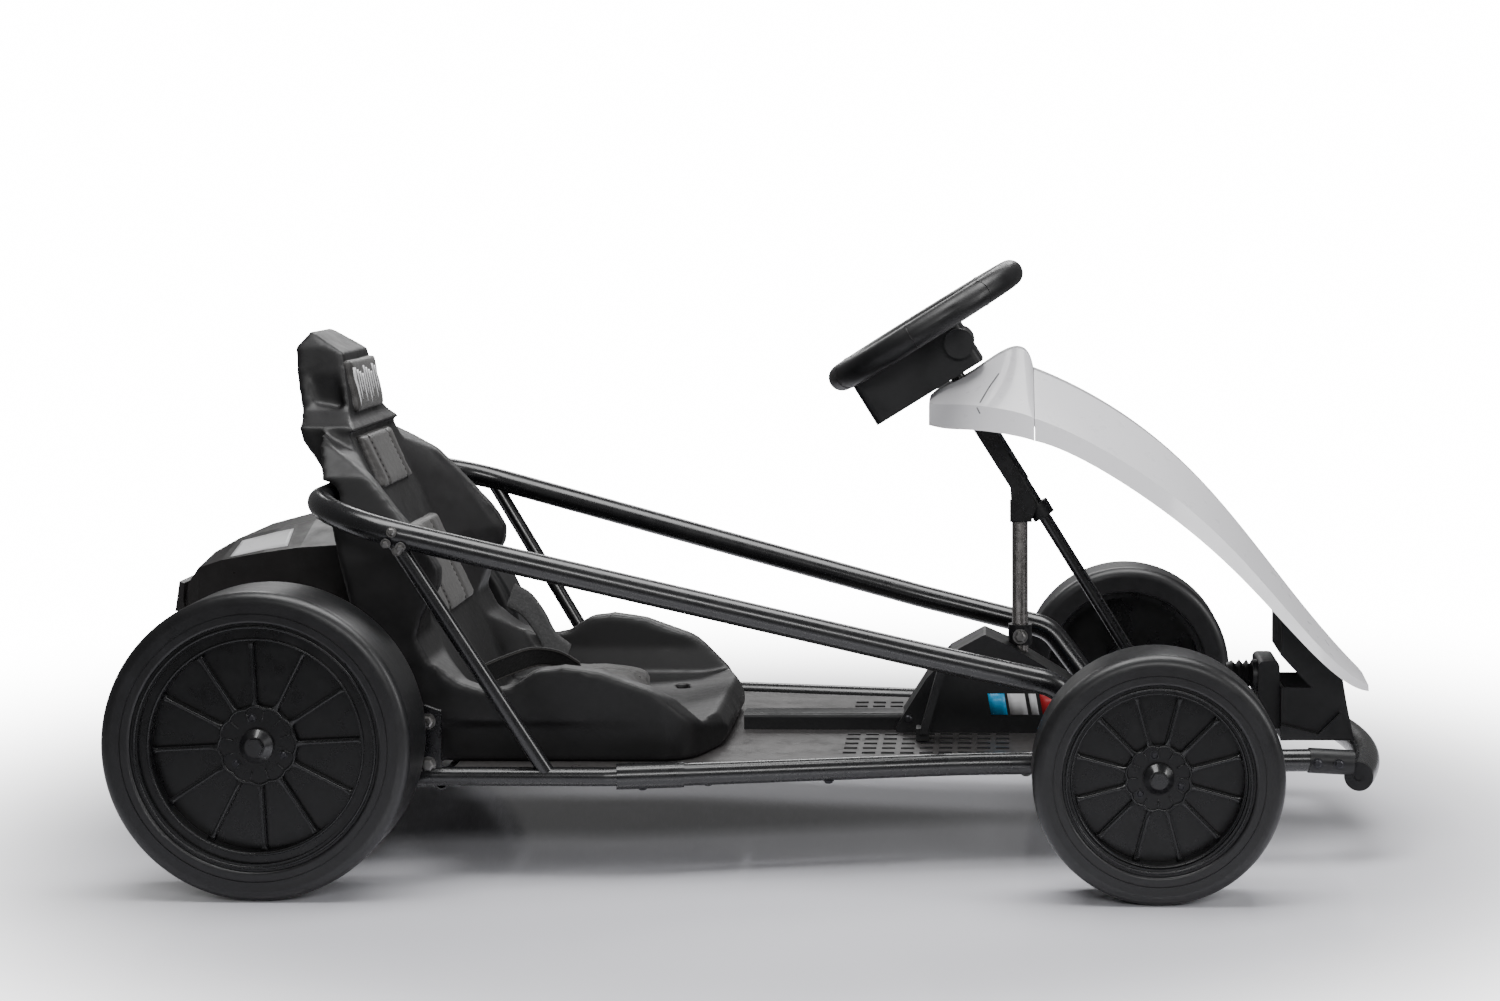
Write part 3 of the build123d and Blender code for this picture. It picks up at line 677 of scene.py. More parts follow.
def run_tree(name, tree, mesh, values):
    """Run a tree over a mesh of places and keep the result as a plain mesh."""
    seeds = link(mesh, name + "_places")
    modifier = seeds.modifiers.new("parts", "NODES")
    modifier.node_group = tree
    for item in tree.interface.items_tree:
        if item.item_type == "SOCKET" and item.in_out == "INPUT" and item.name in values:
            modifier[item.identifier] = values[item.name]
    depsgraph = bpy.context.evaluated_depsgraph_get()
    made = bpy.data.meshes.new_from_object(seeds.evaluated_get(depsgraph), depsgraph=depsgraph)
    seeds.modifiers.clear()
    bpy.data.objects.remove(seeds)
    tidy_normals(made)
    if not made.polygons:
        raise RuntimeError(f"{name}: the tree made no faces")
    return link(made, name)


WASHER_SIDES = 20
WASHER_THICK = 0.0012
CROWN_RISE = 0.0009
CROWN_SHARE = 0.72        # of the head's radius, at the crown's top


def heads_tree(name, corners, look):
    """Heads with a washer under them, one at each point, facing the point's aim."""
    tree, start, ends = new_tree(name, {"Radius": 0.006, "Height": 0.004, "Washer": 0.0085})
    new, wire = tree.nodes.new, tree.links.new
    cloud = new("GeometryNodeMeshToPoints")
    wire(start.outputs["Geometry"], cloud.inputs["Mesh"])
    aim = new("GeometryNodeInputNamedAttribute")
    aim.data_type = "FLOAT_VECTOR"
    aim.inputs["Name"].default_value = "aim"
    turn = new("FunctionNodeAlignRotationToVector")
    turn.axis = "Z"
    wire(aim.outputs["Attribute"], turn.inputs["Vector"])
    head = new("GeometryNodeMeshCylinder")
    head.inputs["Vertices"].default_value = corners
    wire(start.outputs["Radius"], head.inputs["Radius"])
    wire(start.outputs["Height"], head.inputs["Depth"])
    washer = new("GeometryNodeMeshCylinder")
    washer.inputs["Vertices"].default_value = WASHER_SIDES
    washer.inputs["Depth"].default_value = WASHER_THICK
    wire(start.outputs["Washer"], washer.inputs["Radius"])
    crown = new("GeometryNodeMeshCone")
    crown.inputs["Vertices"].default_value = corners
    wire(start.outputs["Radius"], crown.inputs["Radius Bottom"])
    narrow = new("ShaderNodeMath")
    narrow.operation = "MULTIPLY"
    narrow.inputs[1].default_value = CROWN_SHARE
    wire(start.outputs["Radius"], narrow.inputs[0])
    wire(narrow.outputs[0], crown.inputs["Radius Top"])
    crown.inputs["Depth"].default_value = CROWN_RISE
    lift = new("GeometryNodeTransform")
    rise = new("ShaderNodeCombineXYZ")
    half = new("ShaderNodeMath")
    half.operation = "MULTIPLY"
    half.inputs[1].default_value = 0.5
    wire(start.outputs["Height"], half.inputs[0])
    wire(half.outputs[0], rise.inputs["Z"])
    wire(head.outputs["Mesh"], lift.inputs["Geometry"])
    wire(rise.outputs[0], lift.inputs["Translation"])
    top = new("GeometryNodeTransform")
    peak = new("ShaderNodeCombineXYZ")
    wire(start.outputs["Height"], peak.inputs["Z"])
    wire(crown.outputs["Mesh"], top.inputs["Geometry"])
    wire(peak.outputs[0], top.inputs["Translation"])
    both = new("GeometryNodeJoinGeometry")
    for part in (lift.outputs[0], washer.outputs["Mesh"], top.outputs[0]):
        wire(part, both.inputs[0])
    spots = new("GeometryNodeInstanceOnPoints")
    wire(cloud.outputs[0], spots.inputs["Points"])
    wire(both.outputs[0], spots.inputs["Instance"])
    wire(turn.outputs[0], spots.inputs["Rotation"])
    finish_tree(tree, spots.outputs[0], ends, look)
    return tree


def places_mesh(name, spots):
    """Points with the way each one faces."""
    mesh = bpy.data.meshes.new(name)
    mesh.from_pydata([Vector(at) for at, aim in spots], [], [])
    attribute = mesh.attributes.new("aim", "FLOAT_VECTOR", "POINT")
    for item, (at, aim) in zip(attribute.data, spots):
        item.vector = Vector(aim).normalized()
    return mesh


def stitch_tree(name, look):
    """Short rounded stitches set along a line."""
    tree, start, ends = new_tree(name, {"Pitch": 0.006, "Length": 0.0034, "Thickness": 0.0011})
    new, wire = tree.nodes.new, tree.links.new
    line = new("GeometryNodeMeshToCurve")
    wire(start.outputs["Geometry"], line.inputs[0])
    spots = new("GeometryNodeCurveToPoints")
    spots.mode = "LENGTH"
    wire(line.outputs[0], spots.inputs["Curve"])
    wire(start.outputs["Pitch"], spots.inputs["Length"])
    bead = new("GeometryNodeMeshUVSphere")
    bead.inputs["Segments"].default_value = 8
    bead.inputs["Rings"].default_value = 6
    bead.inputs["Radius"].default_value = 0.5
    size = new("ShaderNodeCombineXYZ")
    wire(start.outputs["Thickness"], size.inputs["X"])
    wire(start.outputs["Thickness"], size.inputs["Y"])
    wire(start.outputs["Length"], size.inputs["Z"])
    shape = new("GeometryNodeTransform")
    wire(bead.outputs["Mesh"], shape.inputs["Geometry"])
    wire(size.outputs[0], shape.inputs["Scale"])
    put = new("GeometryNodeInstanceOnPoints")
    wire(spots.outputs["Points"], put.inputs["Points"])
    wire(spots.outputs["Rotation"], put.inputs["Rotation"])
    wire(shape.outputs[0], put.inputs["Instance"])
    finish_tree(tree, put.outputs[0], ends, look)
    return tree


def surface_of(piece):
    bm = bmesh.new()
    bm.from_mesh(piece.data)
    tree = BVHTree.FromBMesh(bm)
    bm.free()
    return tree


def laid_on(surface, points, towards, lift):
    """Points dropped along a direction onto a surface."""
    out = []
    for p in points:
        hit, normal = surface.ray_cast(Vector(p), Vector(towards))[:2]
        if hit is not None:
            out.append(hit + normal * lift)
    if len(out) < 2:
        raise RuntimeError("a line misses the surface it lies on")
    return out


def lines_mesh(name, lines):
    points, edges = [], []
    for line in lines:
        first = len(points)
        points.extend(line)
        edges.extend((first + i, first + i + 1) for i in range(len(line) - 1))
    mesh = bpy.data.meshes.new(name)
    mesh.from_pydata(points, edges, [])
    return mesh


BACK_STITCH_Y = 0.042
CUSHION_STITCH_Y = 0.036
STITCH_LIFT = 0.0002


class KART_OT_stitches(bpy.types.Operator):
    """Sew the two seams down the back pads and those of the cushion."""

    bl_idname = "kart.stitches"
    bl_label = "Stitches"

    def execute(self, context):
        lines = []
        for name, low, high in (("back_pad_lower", 0.244, 0.328),
                                ("back_pad_upper", 0.380, 0.430)):
            surface = surface_of(bpy.data.objects[name])
            for y in (-BACK_STITCH_Y, BACK_STITCH_Y):
                start = [(-0.25, y, low + (high - low) * k / 14) for k in range(15)]
                lines.append(laid_on(surface, start, (-1, 0, 0), STITCH_LIFT))
        surface = surface_of(bpy.data.objects["cushion_filled"])
        for y in (-CUSHION_STITCH_Y, CUSHION_STITCH_Y):
            start = [(-0.290 + 0.125 * k / 20, y, 0.25) for k in range(21)]
            lines.append(laid_on(surface, start, (0, 0, -1), STITCH_LIFT))
        tree = stitch_tree("stitch_rows", LOOKS["thread"])
        rows = run_tree("seat_stitches", tree, lines_mesh("stitch_lines", lines),
                        {"Pitch": sizes().stitch_pitch, "Length": 0.0036, "Thickness": 0.0013})
        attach(rows, CHASSIS)
        return {"FINISHED"}


# places on one side of the kart, x, distance from the middle and z in millimetres
RAIL_BOLTS = ((-526, 256.2, 118), (-526, 256.2, 176), (-342, 256.2, 116), (-342, 256.2, 160))
POST_BOLT = (257.7, 20.5, 210)
# and for the struts with the rise of the way they face
STRUT_BOLTS = ((-364.5, 285.8, 336.5, 0), (-374.5, 291.2, 344.5, -0.45),
               (-360, 289.6, 341, -0.45), (-368, 293.1, 356, 0.15))
PAN_SCREWS = ((-126, 246.6, 92), (60, 211, 92), (470, 162, 92))
BUMPER_SCREWS = ((562, 172, 103), (584, 171, 102))
CONSOLE_SCREWS = ((136, 34.2, 122), (330, 34.2, 124))
HUB_SCREWS = {"rear": (0.0275, 0.0150), "front": (0.0230, 0.0170)}     # ring and depth
HUB_SCREW_ANGLES = (100, 220, 340)


def on_side(g, place, aim):
    """A place in millimetres on side g with the way it faces."""
    x, y, z = place
    return (x * MM, g * y * MM, z * MM), aim


def put_heads(name, tree, spots, radius, height, washer):
    """Heads with washers at the given spots, as one piece."""
    return run_tree(name, tree, places_mesh(name + "_spots", spots),
                    {"Radius": radius, "Height": height, "Washer": washer})


class KART_OT_fasteners(bpy.types.Operator):
    """Set the bolts and screws of the frame, the post, the covers and the hubs."""

    bl_idname = "kart.fasteners"
    bl_label = "Fasteners"

    def execute(self, context):
        s = sizes()
        bolts, strut_bolts, screws = [], [], []
        for side, g in SIDE_SIGNS:
            bolts += [on_side(g, place, (0, g, 0)) for place in RAIL_BOLTS]
            strut_bolts += [on_side(g, place, (0, g, rise)) for *place, rise in STRUT_BOLTS]
            screws += [on_side(g, place, (0, 0, -1)) for place in PAN_SCREWS]
            screws += [on_side(g, place, (0, g, 0)) for place in BUMPER_SCREWS]
        bolts += [on_side(g, POST_BOLT, (0, g, 0)) for side, g in SIDE_SIGNS]
        screws += [on_side(g, place, (0, g, 0))
                   for side, g in SIDE_SIGNS for place in CONSOLE_SCREWS]
        hexagons = heads_tree("hexagon_bolts", 6, LOOKS["steel"])
        rounds = heads_tree("round_screws", 16, LOOKS["dark_steel"])
        for heads in (
            put_heads("frame_bolts", hexagons, bolts, s.bolt_radius, 0.0042, 0.0082),
            put_heads("strut_bolts", hexagons, strut_bolts, s.bolt_radius * 0.62, 0.0034, 0.0052),
            put_heads("cover_screws", rounds, screws, s.screw_radius, 0.0022, 0.0056),
        ):
            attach(heads, CHASSIS)
        for place, (ring, depth) in HUB_SCREWS.items():
            x, z = WHEEL_AXES[place]
            for side, g in SIDE_SIGNS:
                spots = []
                for degrees in HUB_SCREW_ANGLES:
                    a = math.radians(degrees)
                    spots.append(((x + ring * math.cos(a), g * (FACE_Y - depth),
                                   z + ring * math.sin(a)), (0, g, 0)))
                heads = put_heads(f"hub_screws_{place}_{side}", rounds, spots,
                                  0.0032, 0.0016, 0.0044)
                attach(heads, f"wheel_{place}_{side}")
        return {"FINISHED"}


# Wheel and steering trims


WHEEL_SHAPES = {
    # place: rim, pocket and hub radius, dish depth, first spoke's angle
    "rear": (0.122, 0.104, 0.039, 0.015, 3.0),
    "front": (0.093, 0.083, 0.0325, 0.017, 15.0),
}
SPOKES = 12
SPOKE_RISE = 0.0056
TICK_RISE = 0.0011        # of the fine marks between the spokes on the hub ring
TICK_HALF = 0.0006
TRIM_BEVEL = 0.0004
TRIM_STEPS = 144
GRIP_RING = 0.1075        # radius of the steering rim
GRIP_TUBE = 0.0145        # and of its section
GRIP_SEAMS = (-154, -97, -49, 49, 97, 154)
GRIP_SEAM_HALF = 0.0005


def ring_faces(points, faces, frame_at, minor, steps, sides=8):
    """Add a closed round ring; frame_at gives its middle and outward way by angle, and its axis."""
    first = len(points)
    for k in range(steps):
        middle, out, axis = frame_at(2 * math.pi * k / steps)
        for j in range(sides):
            b = 2 * math.pi * j / sides
            points.append(middle + out * (minor * math.cos(b)) + axis * (minor * math.sin(b)))
    for k in range(steps):
        for j in range(sides):
            a, b = first + k * sides, first + ((k + 1) % steps) * sides
            faces.append((a + j, a + (j + 1) % sides, b + (j + 1) % sides, b + j))


def prism_faces(points, faces, outline, rise):
    """Add a closed prism from a flat outline, drawn out by rise."""
    first, count = len(points), len(outline)
    points.extend(outline)
    points.extend(p + rise for p in outline)
    faces.append(tuple(first + k for k in range(count)))
    faces.append(tuple(first + count + k for k in reversed(range(count))))
    for k in range(count):
        n = (k + 1) % count
        faces.append((first + k, first + count + k, first + count + n, first + n))


class KART_OT_wheel_trim(bpy.types.Operator):
    """Raise the lips, flared spokes and scalloped hub ring of each wheel."""

    bl_idname = "kart.wheel_trim"
    bl_label = "Wheel trim"

    def execute(self, context):
        for place, (rim, pocket, hub, dish, first) in WHEEL_SHAPES.items():
            x, z = WHEEL_AXES[place]
            for side, g in SIDE_SIGNS:
                points, faces = [], []
                axis = Vector((0, g, 0))

                def spot(radius, angle, depth):
                    return Vector((x + radius * math.cos(angle), g * (FACE_Y - depth),
                                   z + radius * math.sin(angle)))

                for radius, depth, minor, wave in ((rim - 0.0035, 0.003, 0.0016, 0.0),
                                                   (pocket + 0.002, 0.007, 0.0014, 0.0),
                                                   (hub - 0.0025, dish, 0.0015, 0.0022)):
                    def around(angle):
                        turn = (angle - math.radians(first)) * SPOKES / 2
                        reach = radius + wave * abs(math.cos(turn))
                        out = Vector((math.cos(angle), 0, math.sin(angle)))
                        return spot(reach, angle, depth), out, axis

                    ring_faces(points, faces, around, minor, TRIM_STEPS)
                for k in range(SPOKES):
                    angle = math.radians(first + 360 / SPOKES * k)
                    across = Vector((-math.sin(angle), 0, math.cos(angle)))
                    halves = ((hub - 0.002, 0.0042), (hub + 0.003, 0.0022), (hub + 0.010, 0.0015),
                              (pocket - 0.010, 0.0015), (pocket - 0.004, 0.0022),
                              (pocket, 0.0042))
                    outline = [spot(r, angle, dish + 0.005) + across * w for r, w in halves]
                    outline += [spot(r, angle, dish + 0.005) - across * w
                                for r, w in reversed(halves)]
                    prism_faces(points, faces, outline, axis * SPOKE_RISE)
                    tick = angle + math.pi / SPOKES
                    beside = Vector((-math.sin(tick), 0, math.cos(tick))) * TICK_HALF
                    near, far = (spot(hub * share, tick, dish) for share in (0.62, 0.88))
                    outline = [near + beside, far + beside, far - beside, near - beside]
                    prism_faces(points, faces, outline, axis * TICK_RISE)
                trim = from_faces(f"wheel_trim_{place}_{side}", points, faces)
                bevelled(trim, TRIM_BEVEL, 50)
                shade(trim.data)
                # The trim is coloured lighter than the rim it is moulded with: painted highlight on
                # the raised lips and spokes.
                dress(trim, LOOKS["edge"])
                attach(trim, f"wheel_{place}_{side}")
        points, faces = [], []
        for degrees in GRIP_SEAMS:
            a = math.radians(degrees)
            out = WHEEL_AHEAD * math.cos(a) + Vector((0, math.sin(a), 0))
            along = WHEEL_AHEAD * -math.sin(a) + Vector((0, math.cos(a), 0))

            def round_grip(b):
                way = out * math.cos(b) + SHAFT_DOWN * math.sin(b)
                return WHEEL_CENTRE + out * GRIP_RING + way * GRIP_TUBE, way, along

            ring_faces(points, faces, round_grip, GRIP_SEAM_HALF, 40, 6)
        seams = from_faces("grip_seams", points, faces)
        # The seams are coloured lighter than the grip: painted highlight.
        dress(seams, LOOKS["edge"])
        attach(seams, "steering")
        return {"FINISHED"}


# Belts


WEB_THICK = 0.0016
WEB_ACROSS = 5            # points across each face of the webbing
PIPING_SIZE = (0.0016, 0.0026)
# the middle line of each half, from the anchor to its end
BELT_RIGHT = ((-0.310, -0.104, 0.182), (-0.288, -0.090, 0.190), (-0.262, -0.074, 0.196),
              (-0.236, -0.058, 0.190), (-0.216, -0.046, 0.176))
BELT_LEFT = ((-0.322, 0.112, 0.236), (-0.302, 0.104, 0.226), (-0.284, 0.092, 0.206),
             (-0.270, 0.078, 0.186), (-0.250, 0.062, 0.174))
RIGHT_ACROSS = Vector((0.10, 0.75, -0.62)).normalized()
LEFT_ACROSS = Vector((0.12, 0.8, 0.55)).normalized()


def strap(name, path, across, width, thick, look):
    """Flat webbing along a path, its width along across."""
    points, faces, uvs = [], [], []
    run = 0.0
    for i, p in enumerate(path):
        ahead = path[min(i + 1, len(path) - 1)] - path[max(i - 1, 0)]
        up = ahead.normalized().cross(across).normalized()
        if i:
            run += (p - path[i - 1]).length
        for face in (1, -1):
            for k in range(WEB_ACROSS):
                v = face * (k / (WEB_ACROSS - 1) - 0.5) * width
                points.append(p + across * v + up * (face * thick / 2))
                uvs.append((run, v))
    count = 2 * WEB_ACROSS
    for i in range(len(path) - 1):
        for j in range(count):
            a, b = i * count + j, i * count + (j + 1) % count
            faces.append((a, b, b + count, a + count))
    faces.append(tuple(reversed(range(count))))
    faces.append(tuple(range((len(path) - 1) * count, len(path) * count)))
    mesh = bpy.data.meshes.new(name)
    mesh.from_pydata(points, [], faces)
    layer = mesh.uv_layers.new(name="run")
    for loop in mesh.loops:
        layer.data[loop.index].uv = uvs[loop.vertex_index]
    bm = bmesh.new()
    bm.from_mesh(mesh)
    bmesh.ops.recalc_face_normals(bm, faces=bm.faces)
    bm.to_mesh(mesh)
    bm.free()
    shade(mesh)
    return dress(link(mesh, name), look)


def smooth_path(points, steps=6):
    """Points along a smooth line through the given ones, steps to each stretch."""
    pts = [Vector(p) for p in points]
    pts = [pts[0] * 2 - pts[1]] + pts + [pts[-1] * 2 - pts[-2]]
    out = []
    for i in range(1, len(pts) - 2):
        a, b, c, d = pts[i - 1:i + 3]
        for k in range(steps):
            t = k / steps
            out.append(0.5 * ((2 * b) + (c - a) * t + (2 * a - 5 * b + 4 * c - d) * t * t
                              + (3 * b - a - 3 * c + d) * t ** 3))
    out.append(pts[-2])
    return out


def joined(name, pieces):
    """One mesh from several pieces, which go."""
    bm = bmesh.new()
    looks = []
    for piece in pieces:
        before = len(bm.faces)
        bm.from_mesh(piece.data)
        bm.faces.ensure_lookup_table()
        look = piece.data.materials[0] if piece.data.materials else None
        if look not in looks:
            looks.append(look)
        for face in bm.faces[before:]:
            face.material_index = looks.index(look)
    mesh = bpy.data.meshes.new(name)
    bm.to_mesh(mesh)
    bm.free()
    for look in looks:
        mesh.materials.append(look)
    for piece in pieces:
        bpy.data.objects.remove(piece)
    return link(mesh, name)


class KART_OT_belts(bpy.types.Operator):
    """Lay the two halves of the lap belt over the cushion's rear corners."""

    bl_idname = "kart.belts"
    bl_label = "Lap belt"

    def execute(self, context):
        width = sizes().webbing_width
        right, left = smooth_path(BELT_RIGHT), smooth_path(BELT_LEFT)
        belt = strap("belt_right", right, RIGHT_ACROSS, width, WEB_THICK, LOOKS["webbing"])
        edges = []
        for k, shift in enumerate((-0.45, 0.45)):
            line = [p + RIGHT_ACROSS * (shift * width) for p in right]
            edges.append(strap(f"belt_edge_{k}", line, RIGHT_ACROSS, *PIPING_SIZE,
                               LOOKS["piping"]))
        piping = joined("belt_piping", edges)
        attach(piping, CHASSIS)
        other = strap("belt_left", left, LEFT_ACROSS, width, WEB_THICK, LOOKS["webbing"])
        for piece, path, extras in ((belt, right, [piping]), (other, left, [])):
            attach(piece, CHASSIS)
        return {"FINISHED"}


# Plates and stripes


def plate_on(name, surface, corners, towards, look, steps=(14, 5), lift=0.0004, thick=0.0006):
    """A thin sheet laid on a surface between four corners."""
    a, b, c, d = (Vector(p) for p in corners)
    points = []
    for i in range(steps[0] + 1):
        t = i / steps[0]
        low, high = a.lerp(b, t), d.lerp(c, t)
        for j in range(steps[1] + 1):
            p = low.lerp(high, j / steps[1])
            hit = surface.ray_cast(p, Vector(towards))[0]
            if hit is None:
                raise RuntimeError(f"{name} misses its surface")
            points.append(hit - Vector(towards) * lift)
    row = steps[1] + 1
    faces = [(i * row + j, i * row + j + 1, (i + 1) * row + j + 1, (i + 1) * row + j)
             for i in range(steps[0]) for j in range(steps[1])]
    mesh = bpy.data.meshes.new(name)
    mesh.from_pydata(points, [], faces)
    shade(mesh)
    mesh.update()
    if sum(p.normal.dot(Vector(towards)) for p in mesh.polygons) > 0:
        mesh.flip_normals()
    piece = link(mesh, name)
    wall = piece.modifiers.new("wall", "SOLIDIFY")
    wall.thickness = thick
    wall.offset = -1
    apply_modifiers(piece)
    return dress(piece, look)


def seam_on(name, surface, line, width, towards, look):
    """A narrow dark line laid on a surface along a run of points."""
    strips = []
    for k, (start, end) in enumerate(zip(line, line[1:])):
        a, b = Vector(start), Vector(end)
        half = (b - a).cross(Vector(towards)).normalized() * (width / 2)
        strips.append(plate_on(f"{name}_{k}", surface, [a - half, b - half, b + half, a + half],
                               towards, look, (4, 1), 0.0001, 0.0004))
    return joined(name, strips)


# corners in metres on one side, y as the distance from the middle
COVER_PLATE = ((-0.575, 0.134), (-0.512, 0.140), (-0.518, 0.090), (-0.575, 0.086))
CONSOLE_BANDS = (("blue", 0.222, 0.240), ("white", 0.243, 0.262), ("white", 0.266, 0.274),
                 ("red", 0.278, 0.296))
BAND_HEIGHTS = (0.127, 0.150)
BAND_LEAN = 0.004
COWL_SEAM = ((0.2349, 0.4982), (0.2242, 0.4839), (0.2116, 0.4642), (0.2148, 0.4580))     # x and z
STROKES = 11
STROKE_PITCH = 0.0102


class KART_OT_plates(bpy.types.Operator):
    """Lay the cover's blank plates, the stripes and strokes, and the cowl's seam."""

    bl_idname = "kart.plates"
    bl_label = "Plates and stripes"

    def execute(self, context):
        stripe = tuple(finishes().stripe_colour)
        looks = {
            "white": moulded_plastic("plate_white", (0.62, 0.62, 0.63), 0.35, 400).material,
            "blue": moulded_plastic("stripe_blue", stripe, 0.3, 400).material,
            "red": moulded_plastic("stripe_red", (0.45, 0.02, 0.025), 0.3, 400).material,
        }
        cover = surface_of(NODES["rear_cover"])
        for side, g in SIDE_SIGNS:
            corners = [(x, g * y, 0.5) for x, y in COVER_PLATE]
            plate = plate_on(f"cover_plate_{side}", cover, corners, (0, 0, -1), looks["white"])
            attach(plate, CHASSIS)
        console = surface_of(NODES["console"])
        low, high = BAND_HEIGHTS
        for side, g in SIDE_SIGNS:
            bands = []
            for k, (look, x0, x1) in enumerate(CONSOLE_BANDS):
                corners = [(x0 + BAND_LEAN, g * 0.1, low), (x1 + BAND_LEAN, g * 0.1, low),
                           (x1, g * 0.1, high), (x0, g * 0.1, high)]
                bands.append(plate_on(f"console_band_{side}_{k}", console, corners, (0, -g, 0),
                                      looks[look], (3, 2)))
            stripes = joined(f"console_stripes_{side}", bands)
            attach(stripes, CHASSIS)
        cowl = surface_of(NODES["fairing_cowl"])
        for side, g in SIDE_SIGNS:
            seam = seam_on(f"cowl_seam_{side}", cowl, [(x, g * 0.3, z) for x, z in COWL_SEAM],
                           0.0014, (0, -g, 0), LOOKS["seam"])
            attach(seam, CHASSIS)
        head = surface_of(bpy.data.objects["headrest_pad_filled"])
        strokes = []
        for k in range(STROKES):
            y = STROKE_PITCH * k - 0.052
            top = 0.506 - 0.008 * ((k * 5) % 4) / 3
            low = 0.464 + 0.014 * ((k * 7) % 5) / 4
            corners = [(-0.3, y - 0.0008, low), (-0.3, y + 0.0008, low),
                       (-0.3, y + 0.0042, top), (-0.3, y - 0.0030, top)]
            strokes.append(plate_on(f"stroke_{k}", head, corners, (-1, 0, 0), looks["white"],
                                    (2, 6)))
        motif = joined("headrest_stripes", strokes)
        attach(motif, CHASSIS)
        return {"FINISHED"}


# Studio


FLOOR_RADII = (0.5, 1.2, 2.5, 5.0, 10.0, 20.0, 40.0)
FLOOR_SIDES = 64
FLOOR_FADE = (0.55, 1.9)  # where the floor starts to fade into the air, and ends
SOFTBOXES = (
    # name, place, aim, size, power
    ("softbox_top", (0.1, -0.2, 2.4), (0, 0, 0.1), (2.6, 1.2), 84),
    ("softbox_front", (0.6, -3.4, 1.7), (0.1, 0, 0.25), (2.2, 0.5), 40),
    ("softbox_right", (2.8, -1.0, 1.5), (0.1, 0, 0.3), (0.8, 1.6), 34),
    ("softbox_back", (-0.4, 2.8, 2.0), (0, 0, 0.3), (2.6, 0.6), 46),
)
CAMERA_PLACE = (0.2286, -2.9764, 0.6746)
CAMERA_TURN = (1.51906, 0.00356, 0.03381)
CAMERA_LENS = 65.69
CAMERA_SHIFT = -0.1       # each way, as the photograph is cropped off centre


def studio_air():
    """A world that is seen brighter than it lights."""
    world = bpy.data.worlds.new("studio_air")
    world.use_nodes = True
    bpy.context.scene.world = world
    tree = world.node_tree
    air = tree.nodes["Background"]
    air.inputs["Color"].default_value = (1.0, 1.0, 1.0, 1)
    seen = tree.nodes.new("ShaderNodeLightPath")
    level = tree.nodes.new("ShaderNodeMapRange")
    level.inputs["To Min"].default_value = AIR_LIGHT
    level.inputs["To Max"].default_value = AIR_SEEN
    tree.links.new(seen.outputs["Is Camera Ray"], level.inputs["Value"])
    tree.links.new(level.outputs["Result"], air.inputs["Strength"])


def floor_look(tone):
    """Gloss floor that fades into the air away from the kart."""
    look = Look("floor_gloss")
    look.colour(look.tints(look.noise(3, 3), (0.3, scaled(tone, 0.985)), (0.7, tone)))
    look.rough(look.spread(look.noise(8, 4), 0.09, 0.15, 0.3, 0.7))
    look.fixed(Specular_IOR_Level=0.6)
    glow = look.add("ShaderNodeEmission", 400)
    glow.inputs["Color"].default_value = (1, 1, 1, 1)
    seen = look.add("ShaderNodeLightPath", 0).outputs["Is Camera Ray"]
    look.wire(look.spread(seen, AIR_LIGHT, AIR_SEEN), glow.inputs["Strength"])
    x, y, _ = look.axes()
    fade = look.spread(look.length(x, y), 0.0, 1.0, *FLOOR_FADE)
    fade.node.interpolation_type = "SMOOTHERSTEP"
    blend = look.add("ShaderNodeMixShader", 600)
    out = next(n for n in look.tree.nodes if n.type == "OUTPUT_MATERIAL")
    look.wire(fade, blend.inputs[0])
    look.wire(look.shader.outputs[0], blend.inputs[1])
    look.wire(glow.outputs[0], blend.inputs[2])
    look.wire(blend.outputs[0], out.inputs[0])
    return look.material


def floor_disc():
    """A round floor at height 0, finer near the kart."""
    points, faces = [(0, 0, 0)], []
    turns = [2 * math.pi * k / FLOOR_SIDES for k in range(FLOOR_SIDES)]
    for radius in FLOOR_RADII:
        points += [(radius * math.cos(a), radius * math.sin(a), 0) for a in turns]
    for k in range(FLOOR_SIDES):
        n = (k + 1) % FLOOR_SIDES
        faces.append((0, 1 + k, 1 + n))
        for i in range(len(FLOOR_RADII) - 1):
            a, b = 1 + i * FLOOR_SIDES + k, 1 + i * FLOOR_SIDES + n
            faces.append((a, a + FLOOR_SIDES, b + FLOOR_SIDES, b))
    mesh = bpy.data.meshes.new("studio_floor")
    mesh.from_pydata(points, [], faces)
    shade(mesh)
    return link(mesh, "studio_floor")


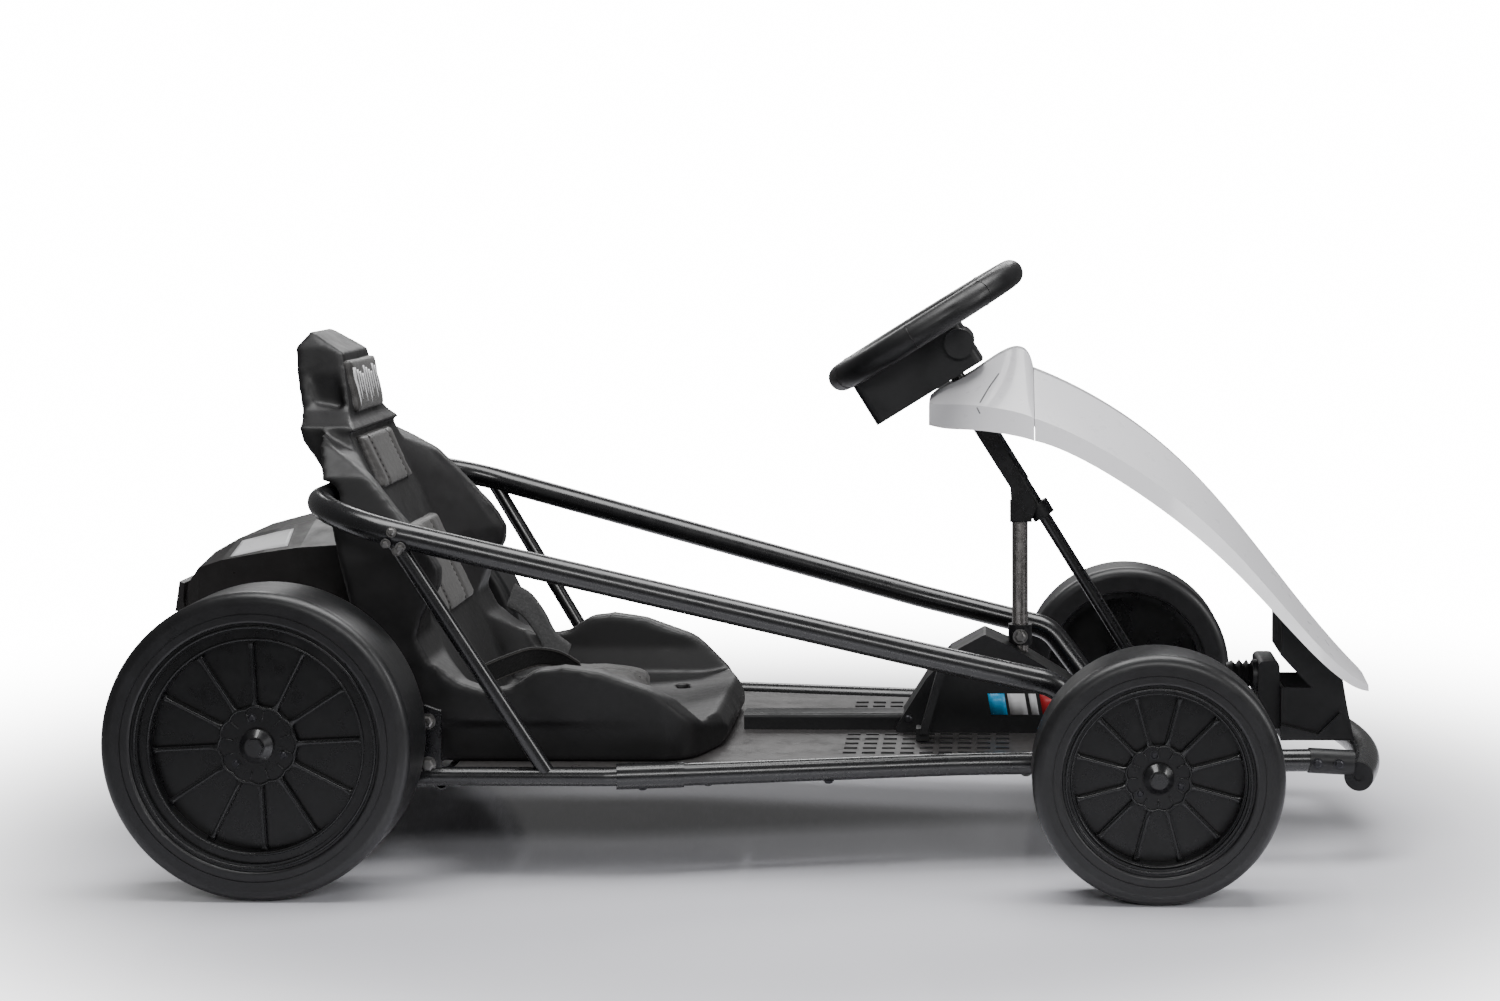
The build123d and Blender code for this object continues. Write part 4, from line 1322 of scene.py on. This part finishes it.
class KART_OT_studio(bpy.types.Operator):
    """Lay the pale floor, hang the soft lights and set the camera."""

    bl_idname = "kart.studio"
    bl_label = "Studio"

    def execute(self, context):
        scene = context.scene
        studio_air()
        floor = floor_disc()
        dress(floor, floor_look(tuple(finishes().floor_colour)))
        for name, place, aim, size, power in SOFTBOXES:
            data = bpy.data.lights.new(name, "AREA")
            data.shape = "RECTANGLE"
            data.size, data.size_y = size
            data.energy = power
            lamp = bpy.data.objects.new(name, data)
            scene.collection.objects.link(lamp)
            lamp.location = place
            way = Vector(aim) - Vector(place)
            lamp.rotation_euler = way.to_track_quat("-Z", "Y").to_euler()
        data = bpy.data.cameras.new("photo_camera")
        data.sensor_width = 36
        data.lens = CAMERA_LENS
        data.shift_x = data.shift_y = CAMERA_SHIFT
        camera = bpy.data.objects.new("photo_camera", data)
        scene.collection.objects.link(camera)
        camera.location = CAMERA_PLACE
        camera.rotation_euler = CAMERA_TURN
        scene.camera = camera
        return {"FINISHED"}


STEPS = (KART_OT_finishes, KART_OT_seat_shell, KART_OT_pads, KART_OT_stitches,
         KART_OT_fasteners, KART_OT_wheel_trim, KART_OT_belts, KART_OT_plates, KART_OT_studio)


class KART_PT_panel(bpy.types.Panel):
    """Lists the kart's pieces in the sidebar."""

    bl_idname = "KART_PT_panel"
    bl_label = "Drift kart"
    bl_space_type = "VIEW_3D"
    bl_region_type = "UI"
    bl_category = "Kart"

    def draw(self, context):
        for step in STEPS:
            self.layout.operator(step.bl_idname)
        for group in (context.scene.kart_finishes, context.scene.kart_sizes):
            for name in group.bl_rna.properties.keys():
                if name not in ("rna_type", "name"):
                    self.layout.prop(group, name)


CLASSES = (KartFinishes, KartSizes, *STEPS, KART_PT_panel)


def register():
    for item in CLASSES:
        bpy.utils.register_class(item)
    bpy.types.Scene.kart_finishes = PointerProperty(type=KartFinishes)
    bpy.types.Scene.kart_sizes = PointerProperty(type=KartSizes)


def unregister():
    del bpy.types.Scene.kart_sizes
    del bpy.types.Scene.kart_finishes
    for item in reversed(CLASSES):
        bpy.utils.unregister_class(item)


def main():
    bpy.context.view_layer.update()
    register()
    for step in STEPS:
        group, name = step.bl_idname.split(".")
        getattr(getattr(bpy.ops, group), name)()


if __name__ == "__main__":
    main()
